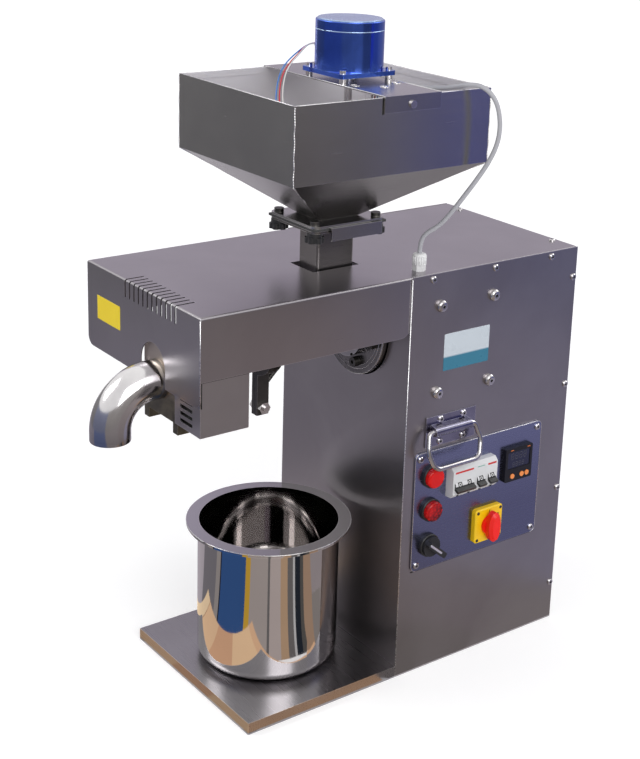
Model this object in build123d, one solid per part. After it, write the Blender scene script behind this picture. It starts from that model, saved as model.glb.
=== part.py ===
"""Screw oil press: geared press screw in a slotted barrel, folded hopper with a stirrer, cabinet and bowl.

Frame: +X is the control panel's side, -Y is the front, +Z is up. The origin lies under the cabinet's
front face, at mid width, on the floor. All sizes are in millimetres.
"""
import os
from math import cos, radians, sin

from build123d import *

# Sheet metal and clearances
sheet = 1.5
bend_radius = 3.0
seat_gap = 0.3
running_gap = 0.06
overrun = 4.0

# Cabinet and base
cabinet_width = 270.0
cabinet_depth = 282.0
cabinet_height = 548.0
base_reach = 228.0
base_height = 16.0
cover_lip = 15.0
back_lip = 18.0
back_vent_count = 9
back_vent_length = 70.0
back_vent_height = 4.0
back_vent_pitch = 12.0
back_vent_bottom = 120.0

# Hood, the front half of the top cover
hood_reach = 298.0
hood_side_drop = 76.0
hood_front_drop = 108.0
hood_corner = 12.0
vent_count = 12
vent_first = -37.0
vent_pitch = 10.6
vent_width = 3.4
vent_run = 25.0
vent_drop = 22.0

# Press line, along Y
press_x = 28.0
press_drop = 89.0
arch_width = 57.0
arch_lift = 1.5
disc_radius = 64.0
disc_front = 8.0
disc_back = 20.0
disc_chamfer = 1.5
disc_clearance = 2.0
disc_bolt_circle = 47.0
disc_bolt_count = 6
disc_bolt_phase = -75.0
disc_bolt_head = 6.5
disc_bolt_height = 8.0
disc_bolt_socket = 3.0
disc_bolt_shank = 4.0
barrel_radius = 30.0
barrel_bore = 20.0
barrel_seat = 6.0
nut_radius = 38.0
nut_length = 14.0
nut_notch = 6.0
nut_notch_count = 6
slit_count = 14
slit_first = 112.0
slit_pitch = 6.0
slit_width = 1.4
slit_top = 14.0

# Press screw
screw_radius = 19.7
screw_core_rear = 10.5
screw_core_front = 15.5
screw_turns = 8
screw_flight_thickness = 4.0
screw_end_gap = 8.0
screw_rear = 20.0
screw_tip_length = 16.0
screw_tip_radius = 8.0
shank_radius = 17.0
shank_end = 118.0
bearing_radius = 31.0
bearing_front = 2.0
bearing_groove = 1.2
bearing_groove_radius = 24.0

# Feed saddle, chute, gate and hopper foot
feed_y = -53.0
saddle_size = 58.0
saddle_reaches = (34.0, 30.5)
saddle_rise = 38.0
chute_width = 40.0
chute_depth = 56.0
chute_wall = 2.0
chute_corner = 4.0
chute_lift = 30.0
feed_hole_margin = 5.0
feed_hole_front = 9.0
feed_hole_back = 5.0
feed_flange_width = 98.0
feed_flange_depth = 108.0
feed_flange_corner = 9.0
feed_flange_thickness = 3.0
feed_flange_lift = 55.0
feed_bolt_offsets = (38.0, 46.0)
feed_bolt_radius = 4.0
feed_bolt_head = 6.0
feed_bolt_head_height = 5.0
knob_radius = 12.0
knob_height = 12.0
knob_lobe_radius = 4.5
knob_lobe_count = 6
knob_collar = 5.0
gate_width = 63.0
gate_thickness = 2.4
gate_lip_x = 79.5
gate_lip_width = 76.0
gate_lip_shift = 7.0
gate_lip_drop = 10.0
foot_width = 49.0
foot_depth = 58.0

# Hopper and its bridge
hopper_y = -48.0
hopper_width = 247.0
hopper_depth = 286.0
funnel_height = 74.0
hopper_box_height = 91.0
hopper_hem = 8.0
bridge_front = -67.5
bridge_back = 16.0
bridge_flange = 18.0
bridge_screw_drop = 10.0

# Stirrer
stirrer_y = -27.0
standoff_height = 7.0
standoff_radius = 4.5
standoff_offset = 34.5
motor_plate = 83.0
motor_plate_corner = 5.0
motor_plate_thickness = 5.5
motor_radius = 42.0
motor_height = 59.4
motor_groove = 1.2
motor_groove_z = 11.0
motor_edge = 1.0
cap_radius = 40.0
cap_height = 1.6
stirrer_shaft_radius = 5.0
stirrer_lift = 24.0
stirrer_socket = 20.0
bridge_hole = 9.0
arm_thickness = 6.0
arm_heights = (12.0, 52.0, 94.0)
arm_reaches = (30.0, 52.0, 78.0)
arm_turn = 60.0
plate_screw_radius = 4.0
plate_screw_height = 4.0

# Cake path at the front: head, plate, heater, spout
head_radius = 34.0
head_length = 50.0
hood_clearance = 6.0
die_gap = 1.0
plate_left = 30.5
plate_right = 47.0
plate_drop = 58.0
plate_rise = 41.0
plate_thickness = 8.0
lug_height = 13.0
lug_width = 11.0
lug_depth = 17.0
heater_radius = 40.0
heater_length = 28.0
heater_setback = 12.0
heater_slot = 6.0
spout_radius = 24.0
spout_wall = 1.5
spout_drop = 16.0
spout_bend = 51.0
spout_straight = 11.0
spout_fall = 63.0

# Vented cover beside the head
vented_left = 76.0
vented_drop = 54.0
vented_depth = 66.0
vented_rise = 23.0
slot_left = 88.0
slot_length = 27.0
slot_height = 4.4
slot_pitch = 8.6
slot_margin = 7.0
slot_count = 4

# Barrel clamp with hanging ears
clamp_radius = 38.0
clamp_front = 156.0
clamp_width = 17.0
ear_width = 12.0
ear_gap = 1.2
ear_drop = 91.0
clamp_bolt_drop = 81.0
clamp_bolt_radius = 4.0
clamp_bolt_head = 7.0
clamp_bolt_head_height = 5.5
clamp_bolt_end = 4.0
brace_radius = 3.0
brace_run = 17.0
brace_drop = 48.0

# Gear reducer and motor inside the cabinet
gear_left = 120.0
gear_right = 70.0
gear_depth = 135.0
gear_drop = 75.0
gear_rise = 57.0
gear_edge = 8.0
mount_front = 34.0
mount_back = 150.0
mount_below = 8.0
mount_above = 3.0
mount_wall = 6.0
big_bolt_y = (48.0, 135.5)
big_bolt_insets = (6.0, 121.0)
big_bolt_head = 8.0
big_bolt_height = 6.0
big_bolt_dome = 4.2
big_bolt_shank = 5.0
big_bolt_length = 14.0
motor_x = -22.0
motor_y = 90.0
drive_radius = 62.0
drive_length = 222.0
drive_flange = 68.0
drive_flange_thickness = 12.0
drive_rib = 4.0
drive_rib_count = 12
drive_shaft_radius = 9.5
drive_shaft_entry = 40.0
drive_shaft_tail = 28.0
cowl_height = 42.0
cowl_slot_count = 8
cowl_slot_width = 6.0
fan_radius = 52.0
fan_hub = 16.0
fan_blade = 3.0
fan_blade_count = 6
fan_drop = 26.0
fan_height = 18.0

# Control panel
panel_front = 17.0
panel_back = 236.0
panel_height = 164.0
panel_gap = 6.0
panel_sheet = 2.0
panel_corner = 8.0
panel_screw_inset = 8.0
panel_window_margin = 16.0
pilot_y = 44.0
lamp_drops = (34.5, 81.0)
selector_drop = 131.0
pilot_bezel = 15.5
pilot_bezel_height = 5.0
pilot_barrel = 11.0
pilot_barrel_length = 34.0
lens_radius = 13.4
lens_height = 7.0
lens_edge = 3.0
selector_disc = 13.4
selector_disc_height = 4.0
selector_lever_length = 36.0
selector_lever_width = 8.0
selector_lever_height = 8.0
selector_lever_corner = 2.6
selector_spindle = 5.0
selector_spindle_length = 12.0
selector_rest_angle = -40.0
isolator_y = 142.5
isolator_drop = 125.4
isolator_plate_size = 48.0
isolator_plate_height = 8.0
isolator_plate_corner = 5.0
isolator_body = 40.0
isolator_body_length = 48.0
isolator_disc = 13.5
isolator_disc_height = 4.0
isolator_knob_length = 42.0
isolator_knob_width = 21.0
isolator_knob_height = 12.0
isolator_knob_edge = 4.0
isolator_spindle = 4.0
isolator_spindle_length = 10.0
controller_y = 192.5
controller_drop = 50.5
controller_face = 48.0
controller_bezel = 6.0
controller_body = 44.0
controller_length = 64.0
controller_corner = 2.0
controller_recess = 1.2
controller_window_size = (40.0, 24.0)
controller_window_lift = 6.0
key_radius = 3.5
key_gap = 0.12
key_length = 3.4
key_stand = 1.0
key_travel = 0.8
key_drop = 16.5
key_y = {"key_set": 181.5, "key_down": 198.5, "key_up": 207.5}
breaker_left = 70.0
breaker_module_width = 19.0
breaker_module_count = 4
breaker_nose_drops = (69.0, 27.0)
breaker_nose_height = 14.0
breaker_shoulder = 5.0
breaker_body_drops = (88.0, 2.0)
breaker_body_length = 44.0
toggle_axis_x = 9.0
toggle_axis_drop = 52.5
toggle_hub = 7.0
toggle_gap = 0.3
toggle_reach = 13.0
toggle_thickness = 4.0
toggle_rest_angle = -28.0
toggle_side = 3.2

# Handles
handle_front = 31.7
handle_back = 114.0
handle_height = 41.0
handle_gap = 25.0
handle_sheet = 2.0
knuckle_front = 39.0
knuckle_back = 99.0
knuckle_x = 9.5
knuckle_drop = 18.0
knuckle_radius = 6.0
knuckle_roof_drop = 10.5
bail_wire = 3.4
bail_half_width = 43.5
bail_drop = 47.0
bail_side_drop_share = 0.5
bail_foot_share = 0.85
bail_top_radius = 7.0
bail_side_radius = 24.0
bail_foot_radius = 13.0
bail_rest_angle = 17.0
bail_end_gap = 0.6

# Small casing screws, as (Y, drop) on the sides
casing_screw_head = 4.5
casing_screw_height = 2.4
casing_screw_edge = 1.0
side_screw_y = (33.5, 136.0, 234.6)
side_screw_drop = 7.0
rear_screw_inset = 5.0
rear_screw_shares = (0.1022, 0.3686, 0.6478, 0.9252)
handle_screw_places = ((55.0, 5.4), (93.0, 5.4), (55.0, 35.5), (93.0, 35.5))
top_screw_x = 95.0
top_screw_inset = 9.0

# Bowl
bowl_y = -112.0
bowl_height = 190.0
bowl_radius = 92.0
bowl_wall = 1.5
bowl_rim_radius = 107.0
bowl_rim_fold = 4.0
bowl_corner = 15.0

# Wiring
gland_x = 111.0
gland_y = 29.0
gland_hex = 7.4
gland_hex_height = 8.0
gland_dome = 8.4
gland_dome_edge = 2.6
gland_height = 22.0
gland_thread = 6.0
gland_inner = 12.0
block_x = (80.0, 100.0)
block_y = (-22.0, 4.0)
block_height = 10.0
cable_radius = 2.9
lead_radius = 0.9
arc_share = 0.45
grommet_width = 9.0
grommet_height = 5.0
grommet_reach = 4.0
grommet_lift = 25.0
grommet_heading = 205.0

# Cable: X, Y and the share of the height from the gland's top to the hopper's rim
cable_route = (
    (90.0, 4.0, 0.9734),
    (90.0, 14.0, 0.9734),
    (95.0, 27.0, 0.9783),
    (108.0, 41.0, 0.9855),
    (126.0, 52.0, 0.9952),
    (142.0, 58.0, 1.0193),
    (154.0, 62.0, 1.0314),
    (163.5, 66.5, 1.029),
    (171.0, 72.0, 1.0072),
    (176.5, 78.5, 0.9614),
    (179.0, 84.0, 0.8937),
    (180.0, 87.0, 0.7971),
    (178.5, 85.5, 0.6957),
    (172.0, 79.3, 0.586),
    (163.0, 69.7, 0.4783),
    (153.5, 59.5, 0.3768),
    (143.0, 50.1, 0.2734),
    (131.0, 41.5, 0.1812),
    (117.0, 32.5, 0.128),
    (111.0, 29.0, 0.0652),
    (111.0, 29.0, 0.0),
)

# Motor leads: X, Y and the height above the hopper's rim
lead_routes = (
    (
        (-15.04, -43.54, 39.0),
        (-21.38, -46.5, 39.0),
        (-25.0, -54.0, 35.5),
        (-24.0, -66.0, 29.0),
        (-24.0, -78.0, 21.0),
        (-24.5, -87.0, 12.0),
        (-24.0, -93.0, 2.0),
        (-22.5, -97.0, -10.0),
        (-18.0, -101.5, -22.0),
        (-8.0, -107.5, -30.5),
        (10.0, -113.5, -33.5),
        (35.0, -116.0, -34.5),
        (62.0, -116.5, -34.5),
        (88.0, -115.0, -33.5),
        (110.0, -111.0, -31.5),
        (127.0, -103.5, -28.5),
        (136.0, -93.0, -24.5),
        (137.5, -81.0, -20.0),
        (133.0, -69.0, -15.5),
        (123.0, -57.0, -11.5),
        (110.0, -45.5, -8.0),
        (99.5, -36.0, -5.5),
        (95.0, -28.5, -5.0),
        (95.0, -22.0, -5.0),
    ),
    (
        (-13.69, -46.44, 39.0),
        (-20.03, -49.4, 39.0),
        (-22.0, -57.5, 35.0),
        (-20.5, -68.5, 26.5),
        (-19.5, -80.0, 18.0),
        (-20.0, -87.5, 9.0),
        (-20.0, -92.5, -1.4),
        (-18.8, -95.5, -12.0),
        (-14.5, -99.0, -22.5),
        (-4.5, -105.0, -30.0),
        (12.0, -110.2, -32.8),
        (36.0, -112.6, -33.8),
        (62.0, -113.1, -33.8),
        (87.0, -111.7, -32.8),
        (108.0, -107.8, -30.8),
        (124.0, -100.8, -27.8),
        (132.4, -91.0, -24.0),
        (133.8, -80.5, -19.5),
        (129.5, -69.5, -15.0),
        (119.0, -57.5, -11.0),
        (105.5, -46.0, -7.8),
        (94.5, -36.0, -5.5),
        (90.0, -28.5, -5.0),
        (90.0, -22.0, -5.0),
    ),
    (
        (-12.34, -49.34, 39.0),
        (-19.59, -52.72, 39.0),
        (-18.8, -61.0, 33.5),
        (-16.8, -70.5, 26.0),
        (-15.2, -81.0, 18.5),
        (-16.0, -87.3, 9.0),
        (-16.0, -91.0, -1.1),
        (-15.0, -93.5, -12.5),
        (-11.0, -96.5, -23.0),
        (-1.0, -102.0, -29.8),
        (14.0, -106.9, -32.2),
        (37.0, -109.2, -33.1),
        (62.0, -109.7, -33.1),
        (86.0, -108.4, -32.1),
        (106.0, -104.6, -30.1),
        (121.0, -98.0, -27.2),
        (128.8, -89.0, -23.4),
        (130.2, -80.0, -19.0),
        (126.0, -70.0, -14.5),
        (115.0, -58.0, -10.6),
        (101.0, -46.5, -7.5),
        (89.5, -36.5, -5.5),
        (85.0, -28.5, -5.0),
        (85.0, -22.0, -5.0),
    ),
)

# Places that follow from the sizes above
half_width = cabinet_width / 2
cover_half = half_width - sheet
cover_underside = cabinet_height - sheet
press_z = cabinet_height - press_drop
arch_centre_z = press_z + arch_lift
hood_side_bottom = cabinet_height - hood_side_drop
hood_front_bottom = cabinet_height - hood_front_drop
saddle_top = press_z + saddle_rise
chute_bottom = press_z + chute_lift
feed_flange_bottom = cabinet_height + feed_flange_lift
gate_lip_bottom = feed_flange_bottom - gate_lip_drop
feed_flange_top = feed_flange_bottom + feed_flange_thickness
guide_thickness = gate_thickness + 2 * seat_gap
guide_top = feed_flange_top + guide_thickness
hopper_foot_z = guide_top + feed_flange_thickness
hopper_shoulder = hopper_foot_z + funnel_height
hopper_top = hopper_shoulder + hopper_box_height
stirrer_bottom = hopper_foot_z + stirrer_lift
bridge_screw_z = hopper_top - bridge_screw_drop
bridge_top = hopper_top + sheet
motor_plate_bottom = bridge_top + standoff_height
motor_plate_top = motor_plate_bottom + motor_plate_thickness
motor_top = motor_plate_top + motor_height
grommet_z = motor_plate_top + grommet_lift
plate_front = hood_reach - hood_clearance
head_front = plate_front - plate_thickness
head_rear = head_front - head_length
heater_front = head_front - heater_setback
heater_rear = heater_front - heater_length
barrel_front = head_rear + barrel_seat
screw_front = barrel_front - screw_end_gap
plate_bottom = press_z - plate_drop
plate_top = press_z + plate_rise
lug_bottom = plate_bottom - lug_height
spout_z = press_z - spout_drop
spout_mouth = spout_z - spout_fall
spout_bend_start = plate_front + spout_straight
vented_bottom = press_z - vented_drop
vented_top = press_z + vented_rise
vented_rear = hood_reach - vented_depth
slot_first = vented_bottom + slot_margin
ear_bottom = press_z - ear_drop
clamp_bolt_z = press_z - clamp_bolt_drop
brace_bottom = press_z - brace_drop
gear_front = disc_back
gear_back = gear_front + gear_depth
gear_bottom = press_z - gear_drop
gear_top = press_z + gear_rise
mount_bottom = gear_bottom - mount_below
mount_top = gear_top + mount_above
big_bolt_z = [gear_bottom + inset for inset in big_bolt_insets]
handle_top = gear_bottom - handle_gap
handle_bottom = handle_top - handle_height
knuckle_z = handle_top - knuckle_drop
knuckle_roof = handle_top - knuckle_roof_drop
panel_top = handle_bottom - panel_gap
panel_bottom = panel_top - panel_height
lamp_z = [panel_top - drop for drop in lamp_drops]
selector_z = panel_top - selector_drop
isolator_z = panel_top - isolator_drop
controller_z = panel_top - controller_drop
controller_window_z = controller_z + controller_window_lift
key_z = controller_z - key_drop
breaker_nose_bottom, breaker_nose_top = [panel_top - drop for drop in breaker_nose_drops]
breaker_body_bottom, breaker_body_top = [panel_top - drop for drop in breaker_body_drops]
toggle_axis_z = panel_top - toggle_axis_drop
panel_face = half_width + panel_sheet
pilot_face = panel_face + pilot_bezel_height
breaker_face = panel_face + breaker_nose_height
toggle_x = panel_face + toggle_axis_x
handle_pin_x = half_width + knuckle_x
handle_middle = (knuckle_front + knuckle_back) / 2
drive_top = gear_bottom - drive_flange_thickness
drive_bottom = drive_top - drive_length
drive_shaft_top = gear_bottom + drive_shaft_entry
drive_shaft_bottom = drive_bottom - drive_shaft_tail
cowl_bottom = drive_bottom - cowl_height
fan_bottom = drive_bottom - fan_drop
side_screw_z = cabinet_height - side_screw_drop
gland_top = cabinet_height + gland_height


# Helpers

def block(x, y, z):
    """A box between a low and a high value on each axis."""
    spans = (x, y, z)
    size = [high - low for low, high in spans]
    middle = [(high + low) / 2 for low, high in spans]
    return Pos(*middle) * Box(*size)


def rod_x(y, z, radius, start, end):
    """A cylinder along X."""
    return Pos((start + end) / 2, y, z) * Rotation(0, 90, 0) * Cylinder(radius, end - start)


def rod_y(x, z, radius, start, end):
    """A cylinder along Y."""
    return Pos(x, (start + end) / 2, z) * Rotation(90, 0, 0) * Cylinder(radius, end - start)


def rod_z(x, y, radius, start, end):
    """A cylinder along Z."""
    return Pos(x, y, (start + end) / 2) * Cylinder(radius, end - start)


def prism_x(y, z, width, height, corner, start, end):
    """A round-cornered bar along X, width along Y and height along Z."""
    outline = Plane.YZ.offset(start) * Pos(y, z) * RectangleRounded(width, height, corner)
    return extrude(outline, end - start)


def prism_z(x, y, width, depth, corner, start, end):
    """A round-cornered bar along Z."""
    outline = Plane.XY.offset(start) * Pos(x, y) * RectangleRounded(width, depth, corner)
    return extrude(outline, end - start)


def mirrored(shape):
    """The same shape on the other side of the cabinet."""
    return mirror(shape, Plane.YZ)


def group(shapes):
    """Separate solids kept in one node."""
    solids = [solid for shape in shapes for solid in shape.solids()]
    return Compound(children=solids)


os.makedirs("parts", exist_ok=True)


def save(shape, node):
    """Write one node."""
    shape.label = node
    export_step(shape, f"parts/{node}.step")


# Base: a folded tray, narrower inside the cabinet, closed by a floor sheet

def tray(inset, top, rear):
    """The tray's outline as a solid, set in from its outer faces."""
    front_half = half_width - inset
    front_part = block((-front_half, front_half), (-base_reach + inset, -inset), (0, top))
    rear_half = half_width - sheet - inset
    rear_part = block((-rear_half, rear_half), (-overrun, rear), (0, top))
    return front_part + rear_part


base_rear = cabinet_depth - sheet
base_hollow = tray(sheet, base_height - sheet, base_rear - sheet)
save(tray(0, base_height, base_rear) - base_hollow, "base_tray")
save(tray(sheet, sheet, base_rear - sheet), "base_floor")


# Cabinet: front wall and both side walls from one sheet

cabinet_shell = block((-half_width, half_width), (0, cabinet_depth), (0, cabinet_height))
cabinet_shell -= block(
    (-cover_half, cover_half), (sheet, cabinet_depth + overrun), (-overrun, cabinet_height + overrun)
)
cabinet_shell -= block((-cover_half, cover_half), (-overrun, sheet), (-overrun, base_height))
cabinet_shell -= block(
    (-half_width - overrun, half_width + overrun), (-overrun, sheet), (
        cover_underside, cabinet_height + overrun
    )
)
for side in (-1, 1):
    notch_inner = side * (cover_half - bend_radius - seat_gap)
    notch = sorted((notch_inner, side * cover_half))
    cabinet_shell -= block(notch, (-overrun, sheet), (cover_underside - cover_lip - seat_gap, cabinet_height))
cabinet_shell -= rod_y(press_x, press_z, disc_radius + disc_clearance, -overrun, sheet + overrun)
window_y = (panel_front + panel_window_margin / 2, panel_back - panel_window_margin)
window_z = (panel_bottom + panel_window_margin, panel_top - panel_window_margin / 2)
cabinet_shell -= block((half_width - sheet - overrun, half_width + overrun), window_y, window_z)
for bolt_y in big_bolt_y:
    for bolt_z in big_bolt_z:
        cabinet_shell -= rod_x(
            bolt_y, bolt_z, big_bolt_shank + seat_gap, -half_width - overrun, half_width + overrun
        )
save(cabinet_shell, "cabinet_shell")


# Back cover: a shallow pan between the side walls, with vent slots

back_front = cabinet_depth - back_lip
back_cover = block((-cover_half, cover_half), (back_front, cabinet_depth), (base_height, cover_underside))
back_cover -= block(
    (-cover_half + sheet, cover_half - sheet),
    (back_front - overrun, cabinet_depth - sheet),
    (base_height + sheet, cover_underside - sheet),
)
for column in (-1, 1):
    for row in range(back_vent_count):
        vent_z = back_vent_bottom + row * back_vent_pitch
        vent_middle = column * cover_half / 2
        back_cover -= block(
            (vent_middle - back_vent_length / 2, vent_middle + back_vent_length / 2),
            (back_front, cabinet_depth + overrun),
            (vent_z, vent_z + back_vent_height),
        )
save(back_cover, "back_cover")


# Top cover: one folded sheet, deep over the press and shallow over the cabinet

top_cover = block(
    (-cover_half, cover_half), (-hood_reach, cabinet_depth), (hood_front_bottom, cabinet_height)
)
bends = [
    edge
    for edge in top_cover.faces().sort_by(Axis.Z)[-1].edges()
    if edge.center().Y < cabinet_depth - sheet
]
top_cover = fillet(bends, bend_radius)
top_hollow = block(
    (-cover_half + sheet, cover_half - sheet),
    (-hood_reach + sheet, cabinet_depth + overrun),
    (hood_front_bottom - overrun, cover_underside),
)
inner_bends = [
    edge
    for edge in top_hollow.faces().sort_by(Axis.Z)[-1].edges()
    if edge.center().Y < cabinet_depth - sheet
]
top_hollow = fillet(inner_bends, bend_radius - sheet)
top_cover -= top_hollow
wide = (-half_width - overrun, half_width + overrun)
top_cover -= block(wide, (-hood_reach + sheet, 0), (hood_front_bottom - overrun, hood_side_bottom))
top_cover -= block(
    wide, (0, cabinet_depth + overrun), (hood_front_bottom - overrun, cover_underside - cover_lip)
)
top_cover -= block(
    wide, (back_front - seat_gap, cabinet_depth + overrun), (hood_front_bottom, cover_underside)
)
for side in (-1, 1):
    corner_x = side * cover_half
    corner_z = hood_front_bottom
    corner_box = block(
        sorted((corner_x - side * hood_corner, corner_x + side * overrun)),
        (-hood_reach - overrun, -hood_reach + sheet),
        (corner_z - overrun, corner_z + hood_corner),
    )
    round_corner = rod_y(
        corner_x - side * hood_corner,
        corner_z + hood_corner,
        hood_corner,
        -hood_reach - overrun,
        -hood_reach + sheet,
    )
    top_cover -= corner_box - round_corner
    rear_corner = block(
        sorted((corner_x - side * (sheet + overrun), corner_x + side * overrun)),
        (-hood_corner, 0),
        (hood_side_bottom - overrun, hood_side_bottom + hood_corner),
    )
    rear_round = rod_x(
        -hood_corner,
        hood_side_bottom + hood_corner,
        hood_corner,
        *sorted((corner_x - side * (sheet + overrun), corner_x + side * overrun)),
    )
    top_cover -= rear_corner - rear_round
arch_radius = arch_width / 2
front_slice = (-hood_reach - overrun, -hood_reach + sheet + overrun)
top_cover -= block(
    (press_x - arch_radius, press_x + arch_radius), front_slice, (hood_front_bottom - overrun, arch_centre_z)
)
top_cover -= rod_y(press_x, arch_centre_z, arch_radius, *front_slice)
for number in range(vent_count):
    vent_x = vent_first + number * vent_pitch
    top_cover -= block(
        (vent_x - vent_width / 2, vent_x + vent_width / 2),
        (-hood_reach - overrun, -hood_reach + vent_run),
        (cabinet_height - vent_drop, cabinet_height + overrun),
    )
chute_half_x = chute_width / 2
chute_half_y = chute_depth / 2
top_cover -= block(
    (press_x - chute_half_x - feed_hole_margin, press_x + chute_half_x + feed_hole_margin),
    (feed_y - chute_half_y - feed_hole_front, feed_y + chute_half_y + feed_hole_back),
    (cover_underside - overrun, cabinet_height + overrun),
)
top_cover -= rod_z(
    gland_x, gland_y, gland_thread + seat_gap, cover_underside - overrun, cabinet_height + overrun
)
save(top_cover, "top_cover")


# Casing screws: low round heads on the sides, the panel, the handles and the top

def screw_head_x(y, z, face, side):
    """A low head that stands on a side face."""
    head = rod_x(y, z, casing_screw_head, face, face + casing_screw_height)
    head = chamfer(head.edges().sort_by(Axis.X)[-1], casing_screw_edge)
    return head if side > 0 else mirrored(head)


def screw_head_z(x, y, face):
    """A low head that stands on the top."""
    head = rod_z(x, y, casing_screw_head, face, face + casing_screw_height)
    return chamfer(head.edges().sort_by(Axis.Z)[-1], casing_screw_edge)


rear_screw_y = cabinet_depth - rear_screw_inset
casing_screws = []
for side in (-1, 1):
    casing_screws += [screw_head_x(y, side_screw_z, half_width, side) for y in side_screw_y]
    casing_screws += [
        screw_head_x(rear_screw_y, share * cabinet_height, half_width, side) for share in rear_screw_shares
    ]
    casing_screws += [
        screw_head_x(y, handle_top - drop, half_width + handle_sheet, side) for y, drop in handle_screw_places
    ]
    casing_screws.append(screw_head_z(side * top_screw_x, cabinet_depth - top_screw_inset, cabinet_height))
for y in (panel_front + panel_screw_inset, panel_back - panel_screw_inset):
    for z in (panel_bottom + panel_screw_inset, panel_top - panel_screw_inset):
        casing_screws.append(screw_head_x(y, z, panel_face, 1))
save(group(casing_screws), "casing_screws")


# Gear reducer, its mounting channels and bolts

gear_x = (press_x - gear_left, press_x + gear_right)
gearbox = block(gear_x, (gear_front, gear_back), (gear_bottom, gear_top))
gearbox = fillet(gearbox.edges().filter_by(Axis.Y), gear_edge)
gearbox -= rod_y(press_x, press_z, shank_radius + running_gap, gear_front - overrun, shank_end + overrun)
gearbox -= rod_z(
    motor_x, motor_y, drive_shaft_radius + running_gap, gear_bottom - overrun, drive_shaft_top + overrun
)
save(gearbox, "gearbox_housing")


def mounting_channel(inner_x, outer_x):
    """A channel with its web on the side wall and two shelves against the gearbox."""
    low, high = sorted((inner_x, outer_x))
    channel = block((low, high), (mount_front, mount_back), (mount_bottom, mount_top))
    direction = 1 if outer_x > inner_x else -1
    hollow = sorted((inner_x - direction * overrun, outer_x - direction * mount_wall))
    channel -= block(
        hollow, (mount_front - overrun, mount_back + overrun), (
            mount_bottom + mount_wall, mount_top - mount_wall
        )
    )
    for bolt_y in big_bolt_y:
        for bolt_z in big_bolt_z:
            channel -= rod_x(bolt_y, bolt_z, big_bolt_shank + seat_gap, -half_width, half_width)
    return channel


save(
    group([mounting_channel(gear_x[0], -cover_half), mounting_channel(gear_x[1], cover_half)]),
    "gearbox_mounts",
)

big_bolts = []
for bolt_y in big_bolt_y:
    for bolt_z in big_bolt_z:
        head = rod_x(bolt_y, bolt_z, big_bolt_head, half_width, half_width + big_bolt_height)
        head = fillet(head.edges().sort_by(Axis.X)[-1], big_bolt_dome)
        shank = rod_x(bolt_y, bolt_z, big_bolt_shank, half_width - big_bolt_length, half_width)
        bolt = head + shank
        big_bolts += [bolt, mirrored(bolt)]
save(group(big_bolts), "gearbox_bolts")


# Drive motor, hung from the gearbox with its shaft upright

motor_body = rod_z(motor_x, motor_y, drive_radius, drive_bottom, drive_top)
motor_body += rod_z(motor_x, motor_y, drive_flange, drive_top, gear_bottom)
for number in range(drive_rib_count):
    rib = block(
        (drive_radius - drive_rib, drive_flange - seat_gap),
        (-drive_rib / 2, drive_rib / 2),
        (drive_bottom, drive_top),
    )
    motor_body += Pos(motor_x, motor_y, 0) * Rotation(0, 0, number * 360 / drive_rib_count) * rib
motor_body -= rod_z(
    motor_x, motor_y, drive_shaft_radius + running_gap, drive_bottom - overrun, gear_bottom + overrun
)
save(motor_body, "motor_body")

cowl = rod_z(motor_x, motor_y, drive_radius, cowl_bottom, drive_bottom)
cowl -= rod_z(motor_x, motor_y, drive_radius - sheet, cowl_bottom + sheet, drive_bottom + overrun)
for number in range(cowl_slot_count):
    slot = block(
        (fan_hub, fan_radius),
        (-cowl_slot_width / 2, cowl_slot_width / 2),
        (cowl_bottom - overrun, cowl_bottom + overrun),
    )
    cowl -= Pos(motor_x, motor_y, 0) * Rotation(0, 0, number * 360 / cowl_slot_count) * slot
save(cowl, "motor_fan_cover")

rotor = rod_z(motor_x, motor_y, drive_shaft_radius, drive_shaft_bottom, drive_shaft_top)
rotor += rod_z(motor_x, motor_y, fan_hub, fan_bottom, fan_bottom + fan_height)
for number in range(fan_blade_count):
    blade = block((0, fan_radius), (-fan_blade / 2, fan_blade / 2), (fan_bottom, fan_bottom + fan_height))
    rotor += Pos(motor_x, motor_y, 0) * Rotation(0, 0, number * 360 / fan_blade_count) * blade
save(rotor, "motor_rotor")


# Bearing flange at the cabinet face, its bearing and bolts

flange = rod_y(press_x, press_z, disc_radius, -disc_front, disc_back)
flange = chamfer(flange.edges().sort_by(Axis.Y)[0], disc_chamfer)
flange -= rod_y(press_x, press_z, shank_radius + seat_gap, -disc_front - overrun, disc_back + overrun)
flange -= rod_y(press_x, press_z, barrel_radius + seat_gap, -disc_front - overrun, -disc_front + barrel_seat)
flange -= rod_y(press_x, press_z, bearing_radius, bearing_front, disc_back + overrun)
bolt_places = []
for number in range(disc_bolt_count):
    angle = radians(disc_bolt_phase + number * 360 / disc_bolt_count)
    bolt_places.append((press_x + disc_bolt_circle * cos(angle), press_z + disc_bolt_circle * sin(angle)))
for x, z in bolt_places:
    flange -= rod_y(x, z, disc_bolt_shank + seat_gap, -disc_front - overrun, disc_back + overrun)
save(flange, "bearing_flange")

bearing = rod_y(press_x, press_z, bearing_radius, bearing_front, disc_back)
bearing -= rod_y(press_x, press_z, shank_radius + running_gap, bearing_front - overrun, disc_back + overrun)
ring = rod_y(
    press_x,
    press_z,
    bearing_groove_radius + bearing_groove,
    bearing_front - overrun,
    bearing_front + bearing_groove,
)
ring -= rod_y(
    press_x, press_z, bearing_groove_radius, bearing_front - overrun, bearing_front + bearing_groove
)
save(bearing - ring, "screw_bearing")

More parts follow.
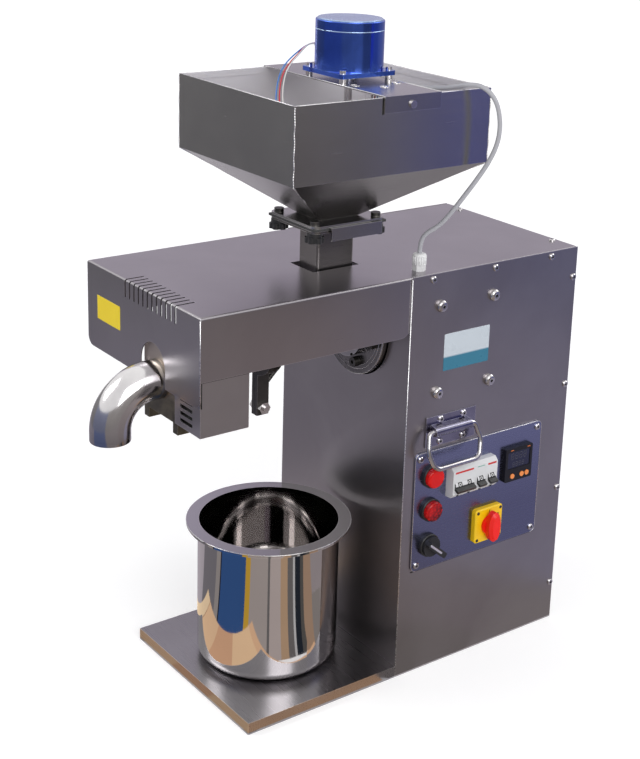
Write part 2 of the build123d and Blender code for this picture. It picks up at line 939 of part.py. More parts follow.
flange_bolts = []
for x, z in bolt_places:
    bolt = rod_y(x, z, disc_bolt_head, -disc_front - disc_bolt_height, -disc_front)
    socket = RegularPolygon(disc_bolt_socket, 6)
    socket = extrude(
        Plane.XZ.offset(disc_front + disc_bolt_height) * Pos(x, z) * socket, -disc_bolt_height / 2
    )
    bolt = bolt + rod_y(x, z, disc_bolt_shank, -disc_front, disc_back) - socket
    flange_bolts.append(bolt)
save(group(flange_bolts), "flange_bolts")


# Press barrel with drainage slits, ring nut and feed saddle

barrel_rear = disc_front - barrel_seat
barrel = rod_y(press_x, press_z, barrel_radius, -barrel_front, -barrel_rear)
barrel -= rod_y(press_x, press_z, barrel_bore, -barrel_front - overrun, -barrel_rear + overrun)
for number in range(slit_count):
    slit_y = -slit_first - number * slit_pitch
    barrel -= block(
        (press_x - barrel_radius, press_x + barrel_radius),
        (slit_y - slit_width, slit_y),
        (press_z - barrel_radius - overrun, press_z - slit_top),
    )
throat_half = chute_half_y - chute_wall
throat = (press_x - barrel_bore + chute_wall, press_x + barrel_bore - chute_wall)
barrel -= block(
    throat, (feed_y - throat_half, feed_y + throat_half), (press_z, press_z + barrel_radius + overrun)
)
save(barrel, "press_barrel")

nut = rod_y(press_x, press_z, nut_radius, -disc_front - nut_length, -disc_front)
nut -= rod_y(
    press_x, press_z, barrel_radius + seat_gap, -disc_front - nut_length - overrun, -disc_front + overrun
)
for number in range(nut_notch_count):
    notch = block(
        (nut_radius - nut_notch / 2, nut_radius + nut_notch),
        (-disc_front - nut_length - overrun, -disc_front + overrun),
        (-nut_notch / 2, nut_notch / 2),
    )
    nut -= Pos(press_x, 0, press_z) * Rotation(0, number * 360 / nut_notch_count, 0) * notch
save(nut, "barrel_nut")

saddle_half = saddle_size / 2
saddle_y = (feed_y - saddle_reaches[0], feed_y + saddle_reaches[1])
saddle = block((press_x - saddle_half, press_x + saddle_half), saddle_y, (press_z, saddle_top))
saddle -= rod_y(press_x, press_z, barrel_radius + seat_gap, saddle_y[0] - overrun, saddle_y[1] + overrun)
saddle -= block(throat, (feed_y - throat_half, feed_y + throat_half), (press_z, saddle_top + overrun))
saddle -= prism_z(
    press_x,
    feed_y,
    chute_width + 2 * seat_gap,
    chute_depth + 2 * seat_gap,
    chute_corner,
    chute_bottom,
    saddle_top + overrun,
)
save(saddle, "feed_saddle")


# Press screw: a core that thickens towards the head, with one helical flight

flight_length = screw_front - screw_rear
flight_turns_run = flight_length - screw_flight_thickness
core = Solid.make_cone(screw_core_rear, screw_core_front, flight_length, Plane.XY)
helix = Helix(pitch=flight_turns_run / screw_turns, height=flight_turns_run, radius=screw_core_rear)
flight_root = screw_core_rear - sheet
profile_plane = Plane(origin=helix @ 0, x_dir=(1, 0, 0), z_dir=helix % 0)
flight_depth = screw_radius - flight_root
profile = profile_plane * Pos(flight_depth / 2 + flight_root - screw_core_rear, 0) * Rectangle(
    flight_depth, screw_flight_thickness
)
flight = sweep(profile, path=helix, is_frenet=True)
worm = core + (Pos(0, 0, screw_flight_thickness / 2) * flight)
limit = Pos(0, 0, flight_length / 2) * Cylinder(screw_radius, flight_length)
worm = worm & limit
tip = Pos(0, 0, flight_length) * Solid.make_cone(
    screw_core_front, screw_tip_radius, screw_tip_length, Plane.XY
)
worm = worm + tip
press_screw = Pos(press_x, -screw_rear, press_z) * Rotation(90, 0, 0) * worm
press_screw += rod_y(press_x, press_z, shank_radius, -screw_rear, shank_end)
save(press_screw, "press_screw")


# Press head with the die, heater band, front plate with its lugs, and spout

head = rod_y(press_x, press_z, head_radius, -head_front, -head_rear)
head -= rod_y(press_x, press_z, barrel_radius + seat_gap, -barrel_front, -head_rear + overrun)
tip_end = screw_front + screw_tip_length
die = Solid.make_cone(barrel_bore, screw_tip_radius + die_gap, tip_end - barrel_front, Plane.XY)
head -= Pos(press_x, -barrel_front, press_z) * Rotation(90, 0, 0) * die
chamber_radius = spout_radius - spout_wall
chamber = rod_y(press_x, spout_z, chamber_radius, -head_front - overrun, -tip_end)
chamber &= rod_y(press_x, press_z, head_radius - plate_thickness, -head_front - overrun, -tip_end)
head -= chamber
save(head, "press_head")

heater = rod_y(press_x, press_z, heater_radius, -heater_front, -heater_rear)
heater -= rod_y(press_x, press_z, head_radius + seat_gap, -heater_front - overrun, -heater_rear + overrun)
heater -= block(
    (press_x - heater_slot / 2, press_x + heater_slot / 2),
    (-heater_front - overrun, -heater_rear + overrun),
    (press_z, press_z + heater_radius + overrun),
)
save(heater, "band_heater")

plate = block(
    (press_x - plate_left, press_x + plate_right),
    (-plate_front, -head_front),
    (plate_bottom, plate_top),
)
plate -= rod_y(press_x, spout_z, chamber_radius, -plate_front - overrun, -head_front + overrun)
for lug_x in (press_x - plate_left, press_x + plate_right - lug_width):
    plate += block(
        (lug_x, lug_x + lug_width), (-plate_front, -plate_front + lug_depth), (lug_bottom, plate_bottom)
    )
save(plate, "head_plate")

corner = Vector(press_x, -spout_bend_start - spout_bend, spout_z)
spout_start = Vector(press_x, -plate_front, spout_z)
spout_end = Vector(press_x, -spout_bend_start - spout_bend, spout_mouth)
spout_path = FilletPolyline(spout_start, corner, spout_end, radius=spout_bend)
spout_section = Plane(origin=spout_path @ 0, z_dir=spout_path % 0) * (
    Circle(spout_radius) - Circle(spout_radius - spout_wall)
)
save(sweep(spout_section, path=spout_path), "elbow_spout")

vented = block(
    (vented_left, cover_half - sheet), (-hood_reach + sheet, -vented_rear), (vented_bottom, vented_top)
)
vented -= block(
    (vented_left - overrun, cover_half - 2 * sheet),
    (-hood_reach + 2 * sheet, -vented_rear - sheet),
    (vented_bottom + sheet, vented_top + overrun),
)
for number in range(slot_count):
    slot_z = slot_first + number * slot_pitch
    vented -= block(
        (slot_left, slot_left + slot_length),
        (-hood_reach - overrun, -hood_reach + 2 * sheet + overrun),
        (slot_z, slot_z + slot_height),
    )
save(vented, "vented_cover")


# Barrel clamp with two hanging ears, its brace, bolt and nut

clamp_y = (-clamp_front, -clamp_front + clamp_width)
clamp = rod_y(press_x, press_z, clamp_radius, *clamp_y)
clamp += block((press_x - ear_width / 2, press_x + ear_width / 2), clamp_y, (ear_bottom, press_z))
clamp -= rod_y(press_x, press_z, barrel_radius + seat_gap, clamp_y[0] - overrun, clamp_y[1] + overrun)
clamp -= block(
    (press_x - ear_gap / 2, press_x + ear_gap / 2),
    (clamp_y[0] - overrun, clamp_y[1] + overrun),
    (ear_bottom - overrun, press_z),
)
clamp_bolt_y = (clamp_y[0] + clamp_y[1]) / 2
clamp_bolt_reach = ear_width / 2 + clamp_bolt_head_height + clamp_bolt_end
clamp -= rod_x(
    clamp_bolt_y, clamp_bolt_z, clamp_bolt_radius + seat_gap, press_x - ear_width, press_x + ear_width
)
brace_x = press_x + ear_width / 2 - brace_radius
brace_path = Line(
    (brace_x, clamp_y[1] - brace_radius, brace_bottom - brace_radius),
    (brace_x, clamp_y[1] + brace_run, brace_bottom + brace_run),
)
brace = sweep(Plane(origin=brace_path @ 0, z_dir=brace_path % 0) * Circle(brace_radius), path=brace_path)
brace -= rod_y(press_x, press_z, barrel_radius + seat_gap, clamp_y[1] - overrun, clamp_y[1] + 2 * brace_run)
save(clamp + brace, "barrel_clamp")


def hexagon_x(y, z, half_flats, start, end):
    """A hexagonal bar along X."""
    outline = Plane.YZ.offset(start) * Pos(y, z) * RegularPolygon(half_flats, 6, major_radius=False)
    return extrude(outline, end - start)


clamp_bolt = rod_x(
    clamp_bolt_y, clamp_bolt_z, clamp_bolt_radius, press_x - ear_width / 2, press_x + clamp_bolt_reach
)
ear_left = press_x - ear_width / 2
ear_right = press_x + ear_width / 2
clamp_bolt += hexagon_x(
    clamp_bolt_y, clamp_bolt_z, clamp_bolt_head, ear_left - clamp_bolt_head_height, ear_left
)
clamp_nut = hexagon_x(
    clamp_bolt_y, clamp_bolt_z, clamp_bolt_head, ear_right, ear_right + clamp_bolt_head_height
)
clamp_nut -= rod_x(
    clamp_bolt_y,
    clamp_bolt_z,
    clamp_bolt_radius + running_gap,
    ear_right - overrun,
    ear_right + clamp_bolt_reach,
)
save(group([clamp_bolt, clamp_nut]), "clamp_bolt")


# Feed chute, slide gate between guide strips, bolts and knobs

def bolt_corners():
    """The four bolt places round the feed."""
    offset_x, offset_y = feed_bolt_offsets
    return [(press_x + i * offset_x, feed_y + j * offset_y) for i in (-1, 1) for j in (-1, 1)]


chute = prism_z(press_x, feed_y, chute_width, chute_depth, chute_corner, chute_bottom, feed_flange_top)
chute += prism_z(
    press_x,
    feed_y,
    feed_flange_width,
    feed_flange_depth,
    feed_flange_corner,
    feed_flange_bottom,
    feed_flange_top,
)
chute -= prism_z(
    press_x,
    feed_y,
    chute_width - 2 * chute_wall,
    chute_depth - 2 * chute_wall,
    chute_corner - chute_wall,
    chute_bottom - overrun,
    feed_flange_top + overrun,
)
for x, y in bolt_corners():
    chute -= rod_z(x, y, feed_bolt_radius + seat_gap, feed_flange_bottom - overrun, feed_flange_top + overrun)
save(chute, "feed_chute")

guide_inner = gate_width / 2 + seat_gap
guides = []
for side in (-1, 1):
    strip_y = sorted((feed_y + side * guide_inner, feed_y + side * feed_flange_depth / 2))
    strip = block(
        (press_x - feed_flange_width / 2, press_x + feed_flange_width / 2),
        strip_y,
        (feed_flange_top, guide_top),
    )
    for x, y in bolt_corners():
        strip -= rod_z(x, y, feed_bolt_radius + seat_gap, feed_flange_top - overrun, guide_top + overrun)
    guides.append(strip)
save(group(guides), "gate_guides")

gate_z = (feed_flange_top + seat_gap, guide_top - seat_gap)
gate = block(
    (press_x - feed_flange_width / 2 + seat_gap, gate_lip_x),
    (feed_y - gate_width / 2, feed_y + gate_width / 2),
    gate_z,
)
gate_lip_y = feed_y + gate_lip_shift
gate += block(
    (gate_lip_x, gate_lip_x + sheet),
    (gate_lip_y - gate_lip_width / 2, gate_lip_y + gate_lip_width / 2),
    (gate_lip_bottom, gate_z[1]),
)
save(gate, "gate_plate")

bolts = []
knobs = []
for x, y in bolt_corners():
    bolt = rod_z(x, y, feed_bolt_radius, feed_flange_bottom - knob_height / 2, hopper_foot_z)
    bolt += rod_z(x, y, feed_bolt_head, hopper_foot_z, hopper_foot_z + feed_bolt_head_height)
    bolts.append(bolt)
    knob = rod_z(
        x, y, knob_radius - knob_lobe_radius / 2, feed_flange_bottom - knob_height, feed_flange_bottom
    )
    for number in range(knob_lobe_count):
        angle = radians(number * 360 / knob_lobe_count)
        reach = knob_radius - knob_lobe_radius
        knob += rod_z(
            x + reach * cos(angle),
            y + reach * sin(angle),
            knob_lobe_radius,
            feed_flange_bottom - knob_height,
            feed_flange_bottom - knob_collar,
        )
    knob -= rod_z(
        x,
        y,
        feed_bolt_radius + running_gap,
        feed_flange_bottom - knob_height / 2,
        feed_flange_bottom + overrun,
    )
    knobs.append(knob)
save(group(bolts), "feed_bolts")
save(group(knobs), "feed_knobs")


# Hopper: a folded funnel under an open box, with a hemmed rim and a bolted foot

def funnel(inset):
    """The hopper's form as a solid, set in from its outer faces."""
    foot = Plane.XY.offset(hopper_foot_z) * Pos(press_x, feed_y) * Rectangle(
        foot_width - 2 * inset, foot_depth - 2 * inset
    )
    shoulder = Plane.XY.offset(hopper_shoulder) * Pos(press_x, hopper_y) * Rectangle(
        hopper_width - 2 * inset, hopper_depth - 2 * inset
    )
    return loft([foot, shoulder])


def hopper_box(inset, bottom, top):
    """A box of the hopper's plan, set in from its outer faces."""
    half_x = hopper_width / 2 - inset
    half_y = hopper_depth / 2 - inset
    return block((press_x - half_x, press_x + half_x), (hopper_y - half_y, hopper_y + half_y), (bottom, top))


hopper = funnel(0) + hopper_box(0, hopper_shoulder, hopper_top)
hopper_hollow = funnel(sheet) + hopper_box(sheet, hopper_shoulder, hopper_top - hopper_hem)
hopper_hollow += hopper_box(2 * sheet, hopper_top - 2 * hopper_hem, hopper_top + overrun)
hopper -= hopper_hollow
hopper += prism_z(
    press_x, feed_y, feed_flange_width, feed_flange_depth, feed_flange_corner, guide_top, hopper_foot_z
)
hopper -= block(
    (press_x - foot_width / 2 + sheet, press_x + foot_width / 2 - sheet),
    (feed_y - foot_depth / 2 + sheet, feed_y + foot_depth / 2 - sheet),
    (guide_top - overrun, hopper_foot_z + sheet),
)
for x, y in bolt_corners():
    hopper -= rod_z(x, y, feed_bolt_radius + seat_gap, guide_top - overrun, hopper_foot_z + sheet)
save(hopper, "hopper")

bridge_half = hopper_width / 2 + sheet
bridge = block(
    (press_x - bridge_half, press_x + bridge_half), (bridge_front, bridge_back), (
        hopper_top - bridge_flange, bridge_top
    )
)
bridge -= block(
    (press_x - hopper_width / 2, press_x + hopper_width / 2),
    (bridge_front - overrun, bridge_back + overrun),
    (hopper_top - bridge_flange - overrun, hopper_top),
)
bridge -= rod_z(press_x, stirrer_y, bridge_hole, hopper_top - overrun, bridge_top + overrun)
save(bridge, "hopper_bridge")


# Stirrer motor on four standoffs, with its screws, cap and lead grommet

standoffs = []
plate_places = [
    (press_x + i * standoff_offset, stirrer_y + j * standoff_offset) for i in (-1, 1) for j in (-1, 1)
]
for x, y in plate_places:
    standoffs.append(rod_z(x, y, standoff_radius, bridge_top, motor_plate_bottom))
    standoffs.append(rod_z(x, y, plate_screw_radius, motor_plate_top, motor_plate_top + plate_screw_height))
for side in (-1, 1):
    bridge_face = press_x + side * bridge_half
    screw_x = sorted((bridge_face, bridge_face + side * casing_screw_height))
    standoffs.append(rod_x(stirrer_y, bridge_screw_z, casing_screw_head, *screw_x))
save(group(standoffs), "motor_standoffs")

stirrer_motor = prism_z(
    press_x, stirrer_y, motor_plate, motor_plate, motor_plate_corner, motor_plate_bottom, motor_plate_top
)
can = rod_z(press_x, stirrer_y, motor_radius, motor_plate_top, motor_top)
can = fillet(can.edges().sort_by(Axis.Z)[-1], motor_edge)
groove_z = motor_top - motor_groove_z
groove = rod_z(press_x, stirrer_y, motor_radius + overrun, groove_z - motor_groove, groove_z)
groove -= rod_z(press_x, stirrer_y, motor_radius - motor_groove, groove_z - motor_groove, groove_z)
stirrer_motor += can - groove
grommet = block(
    (motor_radius - motor_edge, motor_radius + grommet_reach),
    (-grommet_width / 2, grommet_width / 2),
    (grommet_z - grommet_height / 2, grommet_z + grommet_height / 2),
)
stirrer_motor += Pos(press_x, stirrer_y, 0) * Rotation(0, 0, grommet_heading) * grommet
stirrer_motor -= rod_z(
    press_x,
    stirrer_y,
    stirrer_shaft_radius + running_gap,
    motor_plate_bottom - overrun,
    motor_plate_bottom + stirrer_socket + overrun,
)
save(stirrer_motor, "stirrer_motor")

cap = rod_z(press_x, stirrer_y, cap_radius, motor_top, motor_top + cap_height)
save(chamfer(cap.edges().sort_by(Axis.Z)[-1], cap_height / 2), "stirrer_motor_cap")

stirrer = rod_z(press_x, stirrer_y, stirrer_shaft_radius, stirrer_bottom, motor_plate_bottom + stirrer_socket)
for number, (height, reach) in enumerate(zip(arm_heights, arm_reaches)):
    arm_z = stirrer_bottom + height
    arm = block(
        (-reach, reach),
        (-arm_thickness / 2, arm_thickness / 2),
        (arm_z - arm_thickness / 2, arm_z + arm_thickness / 2),
    )
    stirrer += Pos(press_x, stirrer_y, 0) * Rotation(0, 0, number * arm_turn) * arm
save(stirrer, "stirrer")


# Control panel plate and its devices

panel_middle_y = (panel_front + panel_back) / 2
panel_middle_z = (panel_bottom + panel_top) / 2
panel = prism_x(
    panel_middle_y,
    panel_middle_z,
    panel_back - panel_front,
    panel_top - panel_bottom,
    panel_corner,
    half_width,
    panel_face,
)
through = (half_width - overrun, panel_face + overrun)
for z in (*lamp_z, selector_z):
    panel -= rod_x(pilot_y, z, pilot_barrel + seat_gap, *through)
controller_half = controller_body / 2 + seat_gap
panel -= block(
    through,
    (controller_y - controller_half, controller_y + controller_half),
    (controller_z - controller_half, controller_z + controller_half),
)
breaker_right = breaker_left + breaker_module_count * breaker_module_width
panel -= block(
    through,
    (breaker_left - seat_gap, breaker_right + seat_gap),
    (breaker_nose_bottom - seat_gap, breaker_nose_top + seat_gap),
)
isolator_half = isolator_body / 2 + seat_gap
panel -= block(
    through,
    (isolator_y - isolator_half, isolator_y + isolator_half),
    (isolator_z - isolator_half, isolator_z + isolator_half),
)
save(panel, "panel_plate")

lamp_bodies = []
lenses = []
for z in lamp_z:
    bezel = rod_x(pilot_y, z, pilot_bezel, panel_face, pilot_face)
    bezel = chamfer(bezel.edges().sort_by(Axis.X)[-1], sheet / 2)
    lamp_bodies.append(bezel + rod_x(pilot_y, z, pilot_barrel, panel_face - pilot_barrel_length, panel_face))
    lens = rod_x(pilot_y, z, lens_radius, pilot_face, pilot_face + lens_height)
    lenses.append(fillet(lens.edges().sort_by(Axis.X)[-1], lens_edge))
save(group(lamp_bodies), "lamp_bodies")
save(group(lenses), "lamp_lenses")

selector_body = rod_x(pilot_y, selector_z, pilot_bezel, panel_face, pilot_face)
selector_body = chamfer(selector_body.edges().sort_by(Axis.X)[-1], sheet / 2)
selector_body += rod_x(pilot_y, selector_z, pilot_barrel, panel_face - pilot_barrel_length, panel_face)
selector_body -= rod_x(
    pilot_y,
    selector_z,
    selector_spindle + running_gap,
    pilot_face - selector_spindle_length - seat_gap,
    pilot_face + overrun,
)
save(selector_body, "selector_body")

knob_start = pilot_face + seat_gap
knob_seat = knob_start + selector_disc_height
selector_knob = rod_x(0, 0, selector_disc, knob_start, knob_seat)
selector_knob += rod_x(0, 0, selector_spindle, pilot_face - selector_spindle_length, knob_start)
lever = prism_x(
    selector_lever_length / 2 - selector_disc,
    0,
    selector_lever_length,
    selector_lever_width,
    selector_lever_corner,
    knob_seat,
    knob_seat + selector_lever_height,
)
selector_knob += lever
selector_knob = Pos(0, pilot_y, selector_z) * Rotation(selector_rest_angle, 0, 0) * selector_knob
save(selector_knob, "selector_knob")

isolator_face = panel_face + isolator_plate_height
isolator = prism_x(
    isolator_y,
    isolator_z,
    isolator_plate_size,
    isolator_plate_size,
    isolator_plate_corner,
    panel_face,
    isolator_face,
)
isolator = chamfer(isolator.faces().sort_by(Axis.X)[-1].edges(), sheet)
isolator += block(
    (panel_face - isolator_body_length, panel_face),
    (isolator_y - isolator_body / 2, isolator_y + isolator_body / 2),
    (isolator_z - isolator_body / 2, isolator_z + isolator_body / 2),
)
isolator -= rod_x(
    isolator_y,
    isolator_z,
    isolator_spindle + running_gap,
    isolator_face - isolator_spindle_length - seat_gap,
    isolator_face + overrun,
)
save(isolator, "isolator_plate")

isolator_start = isolator_face + seat_gap
isolator_knob = rod_x(
    isolator_y, isolator_z, isolator_disc, isolator_start, isolator_start + isolator_disc_height
)
isolator_knob += rod_x(
    isolator_y, isolator_z, isolator_spindle, isolator_face - isolator_spindle_length, isolator_start
)
grip_start = isolator_start + isolator_disc_height
grip = extrude(
    Plane.YZ.offset(grip_start)
    * Pos(isolator_y, isolator_z)
    * Ellipse(isolator_knob_width / 2, isolator_knob_length / 2),
    isolator_knob_height,
)
grip = chamfer(grip.faces().sort_by(Axis.X)[-1].edges(), isolator_knob_edge)
save(isolator_knob + grip, "isolator_knob")

controller_front = panel_face + controller_bezel
controller = prism_x(
    controller_y,
    controller_z,
    controller_face,
    controller_face,
    controller_corner,
    panel_face,
    controller_front,
)
controller += block(
    (panel_face - controller_length, panel_face),
    (controller_y - controller_body / 2, controller_y + controller_body / 2),
    (controller_z - controller_body / 2, controller_z + controller_body / 2),
)
window_width, window_height = controller_window_size
controller -= block(
    (controller_front - controller_recess, controller_front + overrun),
    (controller_y - window_width / 2, controller_y + window_width / 2),
    (controller_window_z - window_height / 2, controller_window_z + window_height / 2),
)
key_back = controller_front + key_stand - key_length
for y in key_y.values():
    controller -= rod_x(
        y, key_z, key_radius + key_gap, key_back - key_travel - seat_gap, controller_front + overrun
    )
save(controller, "controller_case")
for node, y in key_y.items():
    save(rod_x(y, key_z, key_radius, key_back, controller_front + key_stand), node)


def breaker_case(first_module, modules, toggle_width):
    """One device: a tall body behind the panel and a bevelled nose in front, with its toggle's recess."""
    left = breaker_left + first_module * breaker_module_width
    right = left + modules * breaker_module_width
    back = panel_face - breaker_body_length
    outline = Polyline(
        (back, breaker_body_bottom),
        (half_width - sheet - seat_gap, breaker_body_bottom),
        (half_width - sheet - seat_gap, breaker_nose_bottom),
        (breaker_face - breaker_shoulder, breaker_nose_bottom),
        (breaker_face, breaker_nose_bottom + breaker_shoulder),
        (breaker_face, breaker_nose_top - breaker_shoulder),
        (breaker_face - breaker_shoulder, breaker_nose_top),
        (half_width - sheet - seat_gap, breaker_nose_top),
        (half_width - sheet - seat_gap, breaker_body_top),
        (back, breaker_body_top),
        close=True,
    )
    case = extrude(Plane.XZ.offset(-left) * make_face(outline), -(right - left))
    middle = (left + right) / 2
    half = toggle_width / 2 + seat_gap
    case -= rod_y(toggle_x, toggle_axis_z, toggle_hub + toggle_gap, middle - half, middle + half)
    return case


def breaker_toggle(first_module, modules, toggle_width):
    """A half-sunk hub with a lever that points down at rest."""
    middle = breaker_left + (first_module + modules / 2) * breaker_module_width
    low, high = middle - toggle_width / 2, middle + toggle_width / 2
    lever = block((0, toggle_reach), (low, high), (-toggle_thickness / 2, toggle_thickness / 2))
    lever = Pos(toggle_x, 0, toggle_axis_z) * Rotation(0, -toggle_rest_angle, 0) * lever
    return rod_y(toggle_x, toggle_axis_z, toggle_hub, low, high) + lever


breaker_layout = {"toggle_main": (0, 2), "toggle_middle": (2, 1), "toggle_single": (3, 1)}
cases = []
for node, (first_module, modules) in breaker_layout.items():
    toggle_width = modules * breaker_module_width - 2 * toggle_side
    cases.append(breaker_case(first_module, modules, toggle_width))
    save(breaker_toggle(first_module, modules, toggle_width), node)
save(group(cases), "breaker_cases")


# Handles: a pressed bracket with a knuckle, and a wire bail that hangs in it

def handle_bracket():
    """The right-hand bracket."""
    bracket = block(
        (half_width, half_width + handle_sheet), (handle_front, handle_back), (handle_bottom, handle_top)
    )
    knuckle = rod_y(handle_pin_x, knuckle_z, knuckle_radius, knuckle_front, knuckle_back)
    roof = Polyline(
        (half_width, knuckle_z - knuckle_radius),
        (handle_pin_x, knuckle_z - knuckle_radius),
        (handle_pin_x, knuckle_z + knuckle_radius),
        (half_width + handle_sheet, knuckle_roof),
        (half_width, knuckle_roof),
        close=True,
    )
    roof = extrude(Plane.XZ.offset(-knuckle_front) * make_face(roof), -(knuckle_back - knuckle_front))
    bracket = bracket + knuckle + roof
    return bracket - rod_y(
        handle_pin_x, knuckle_z, bail_wire + running_gap, knuckle_front - overrun, knuckle_back + overrun
    )


def handle_bail(rest_angle):
    """The right-hand bail: half of it is swept along the wire's line and mirrored."""
    axle_half = (knuckle_back - knuckle_front) / 2 + bail_end_gap + bail_top_radius
    side_drop = bail_drop * bail_side_drop_share
    foot_half = bail_half_width * bail_foot_share
    route = FilletPolyline(
        (0, 0, 0),
        (0, axle_half, 0),
        (0, bail_half_width, -side_drop),
        (0, foot_half, -bail_drop),
        (0, 0, -bail_drop),
        radius=[bail_top_radius, bail_side_radius, bail_foot_radius],
    )
    half = sweep(Plane(origin=route @ 0, z_dir=route % 0) * Circle(bail_wire), path=route)
    bail = half + mirror(half, Plane.XZ)
    return Pos(handle_pin_x, handle_middle, knuckle_z) * Rotation(0, -rest_angle, 0) * bail


bracket = handle_bracket()
save(group([bracket, mirrored(bracket)]), "handle_brackets")
save(handle_bail(bail_rest_angle), "handle_bail_right")
save(mirrored(handle_bail(0)), "handle_bail_left")


# Bowl: turned from one profile, with a flat rim and its folded edge

bowl_rim_z = base_height + bowl_height
corner_centre = (bowl_radius - bowl_corner, base_height + bowl_corner)
inner_corner = bowl_corner - bowl_wall
diagonal = cos(radians(45))


def corner_points(radius):
    """Start, middle and end of an arc round the bowl's lower corner."""
    x, z = corner_centre
    return (x, z - radius), (x + radius * diagonal, z - radius * diagonal), (x + radius, z)


outer_arc = corner_points(bowl_corner)
inner_arc = corner_points(inner_corner)
rim_line = [
    outer_arc[-1],
    (bowl_radius, bowl_rim_z - bowl_wall),
    (bowl_rim_radius - bowl_wall, bowl_rim_z - bowl_wall),
    (bowl_rim_radius - bowl_wall, bowl_rim_z - bowl_rim_fold),
    (bowl_rim_radius, bowl_rim_z - bowl_rim_fold),
    (bowl_rim_radius, bowl_rim_z),
    (bowl_radius - bowl_wall, bowl_rim_z),
    inner_arc[-1],
]
floor_line = [inner_arc[0], (0, base_height + bowl_wall), (0, base_height), outer_arc[0]]
bowl_edges = [ThreePointArc(*outer_arc), ThreePointArc(*inner_arc)]
bowl_edges += [Line(first, second) for first, second in zip(rim_line, rim_line[1:])]
bowl_edges += [Line(first, second) for first, second in zip(floor_line, floor_line[1:])]
bowl_profile = Plane.XZ * make_face(Curve() + bowl_edges)
save(Pos(0, bowl_y, 0) * revolve(bowl_profile, Axis.Z), "oil_bowl")


# Wiring: terminal block under the bridge, gland on the cabinet, cable and leads

save(block(block_x, block_y, (hopper_top - block_height, hopper_top)), "terminal_block")

gland = extrude(
    Plane.XY.offset(cabinet_height) * Pos(gland_x, gland_y) * RegularPolygon(
        gland_hex, 6, major_radius=False
    ),
    gland_hex_height,
)
dome = rod_z(gland_x, gland_y, gland_dome, cabinet_height + gland_hex_height, gland_top)
gland += fillet(dome.edges().sort_by(Axis.Z)[-1], gland_dome_edge)
gland += rod_z(gland_x, gland_y, gland_thread, cabinet_height - gland_inner, cabinet_height)
save(gland, "cable_gland")


def cord(route, radius):
    """A tube of straight runs joined by the largest arcs that its runs allow."""
    points = [Vector(*point) for point in route]
    radii = []
    for before, here, after in zip(points, points[1:], points[2:]):
        shorter = min((here - before).length, (after - here).length)
        half_turn = radians((here - before).get_angle(after - here) / 2)
        radii.append(arc_share * shorter * cos(half_turn) / sin(half_turn))
    path = FilletPolyline(*points, radius=radii)
    tube = sweep(Plane(origin=path @ 0, z_dir=path % 0) * Circle(radius), path=path)
    section = Circle(radius).area
    print(
        f"cord length {path.length:.1f}, smallest radius {min(radii):.1f},"
        f" volume share {tube.volume / (section * path.length):.4f}"
    )
    return tube


cable_drop = hopper_top - gland_top
cable_points = [(x, y, gland_top + share * cable_drop) for x, y, share in cable_route]
save(cord(cable_points, cable_radius), "power_cable")
lead_points = [[(x, y, hopper_top + rise) for x, y, rise in route] for route in lead_routes]
save(group([cord(points, lead_radius) for points in lead_points]), "motor_leads")
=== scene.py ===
# %% [markdown]
# # A screw oil press for the kitchen table
#
# The machine squeezes oil out of seeds. A small motor in the cabinet turns a steel screw inside a slotted
# barrel, the hopper on top feeds it, oil drips into the bowl and the pressed cake leaves by the elbow spout.
#
# The solid parts come from the CAD frame and stay where they are. Blender's work is what the eye sees: the
# finishes, the camera, the light, the soft wires and the small trim. We load the frame first and note its
# box.

# %% Load the frame
import math

import bpy
from mathutils import Matrix, Vector


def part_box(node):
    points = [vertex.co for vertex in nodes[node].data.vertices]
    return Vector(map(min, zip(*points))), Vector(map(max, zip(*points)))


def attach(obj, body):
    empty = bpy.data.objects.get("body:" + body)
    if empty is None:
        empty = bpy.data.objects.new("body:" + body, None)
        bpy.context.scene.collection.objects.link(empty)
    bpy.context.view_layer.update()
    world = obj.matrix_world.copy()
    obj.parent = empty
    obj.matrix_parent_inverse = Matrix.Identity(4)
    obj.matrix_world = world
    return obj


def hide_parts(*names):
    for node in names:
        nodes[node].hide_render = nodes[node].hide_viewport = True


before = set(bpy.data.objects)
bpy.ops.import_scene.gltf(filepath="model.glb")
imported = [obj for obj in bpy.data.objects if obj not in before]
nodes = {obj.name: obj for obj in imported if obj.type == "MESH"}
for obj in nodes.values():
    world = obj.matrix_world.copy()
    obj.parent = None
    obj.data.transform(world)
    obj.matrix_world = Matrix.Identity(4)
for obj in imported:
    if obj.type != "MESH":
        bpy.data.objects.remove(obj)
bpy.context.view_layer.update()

# %% [markdown]
# ## The camera
#
# The picture was taken from in front and to the right, a little above the lid. Seven measured corners of the
# machine gave the place, the turn and the focal length, so the camera is built from those numbers. A matrix
# made of its right, up and back directions is exact, where three Euler angles would be hard to read.
# The lens is off centre in the frame, so a small shift puts it where the picture has it.

# %% Camera from the measured viewpoint
picture_width, picture_height = 640, 759
focal_pixels = 1473.92
centre_pixel = (376.35, 249.2)
camera_place = Vector((1.44936, -1.09506, 1.06729))
camera_turn = math.radians(51.73)
camera_tilt = math.radians(15.81)
camera_roll = math.radians(2.23)


def camera_axes(turn, tilt, roll):
    """Right, up and back directions of a camera that stands round the object."""
    back = Vector((math.sin(turn) * math.cos(tilt), -math.cos(turn) * math.cos(tilt), math.sin(tilt)))
    level_right = Vector((math.cos(turn), math.sin(turn), 0.0))
    level_up = back.cross(level_right)
    right = math.cos(roll) * level_right + math.sin(roll) * level_up
    up = math.cos(roll) * level_up - math.sin(roll) * level_right
    return right, up, back


def place_object(name, data):
    """Puts an object with this data into the scene."""
    thing = bpy.data.objects.new(name, data)
    bpy.context.scene.collection.objects.link(thing)
    return thing


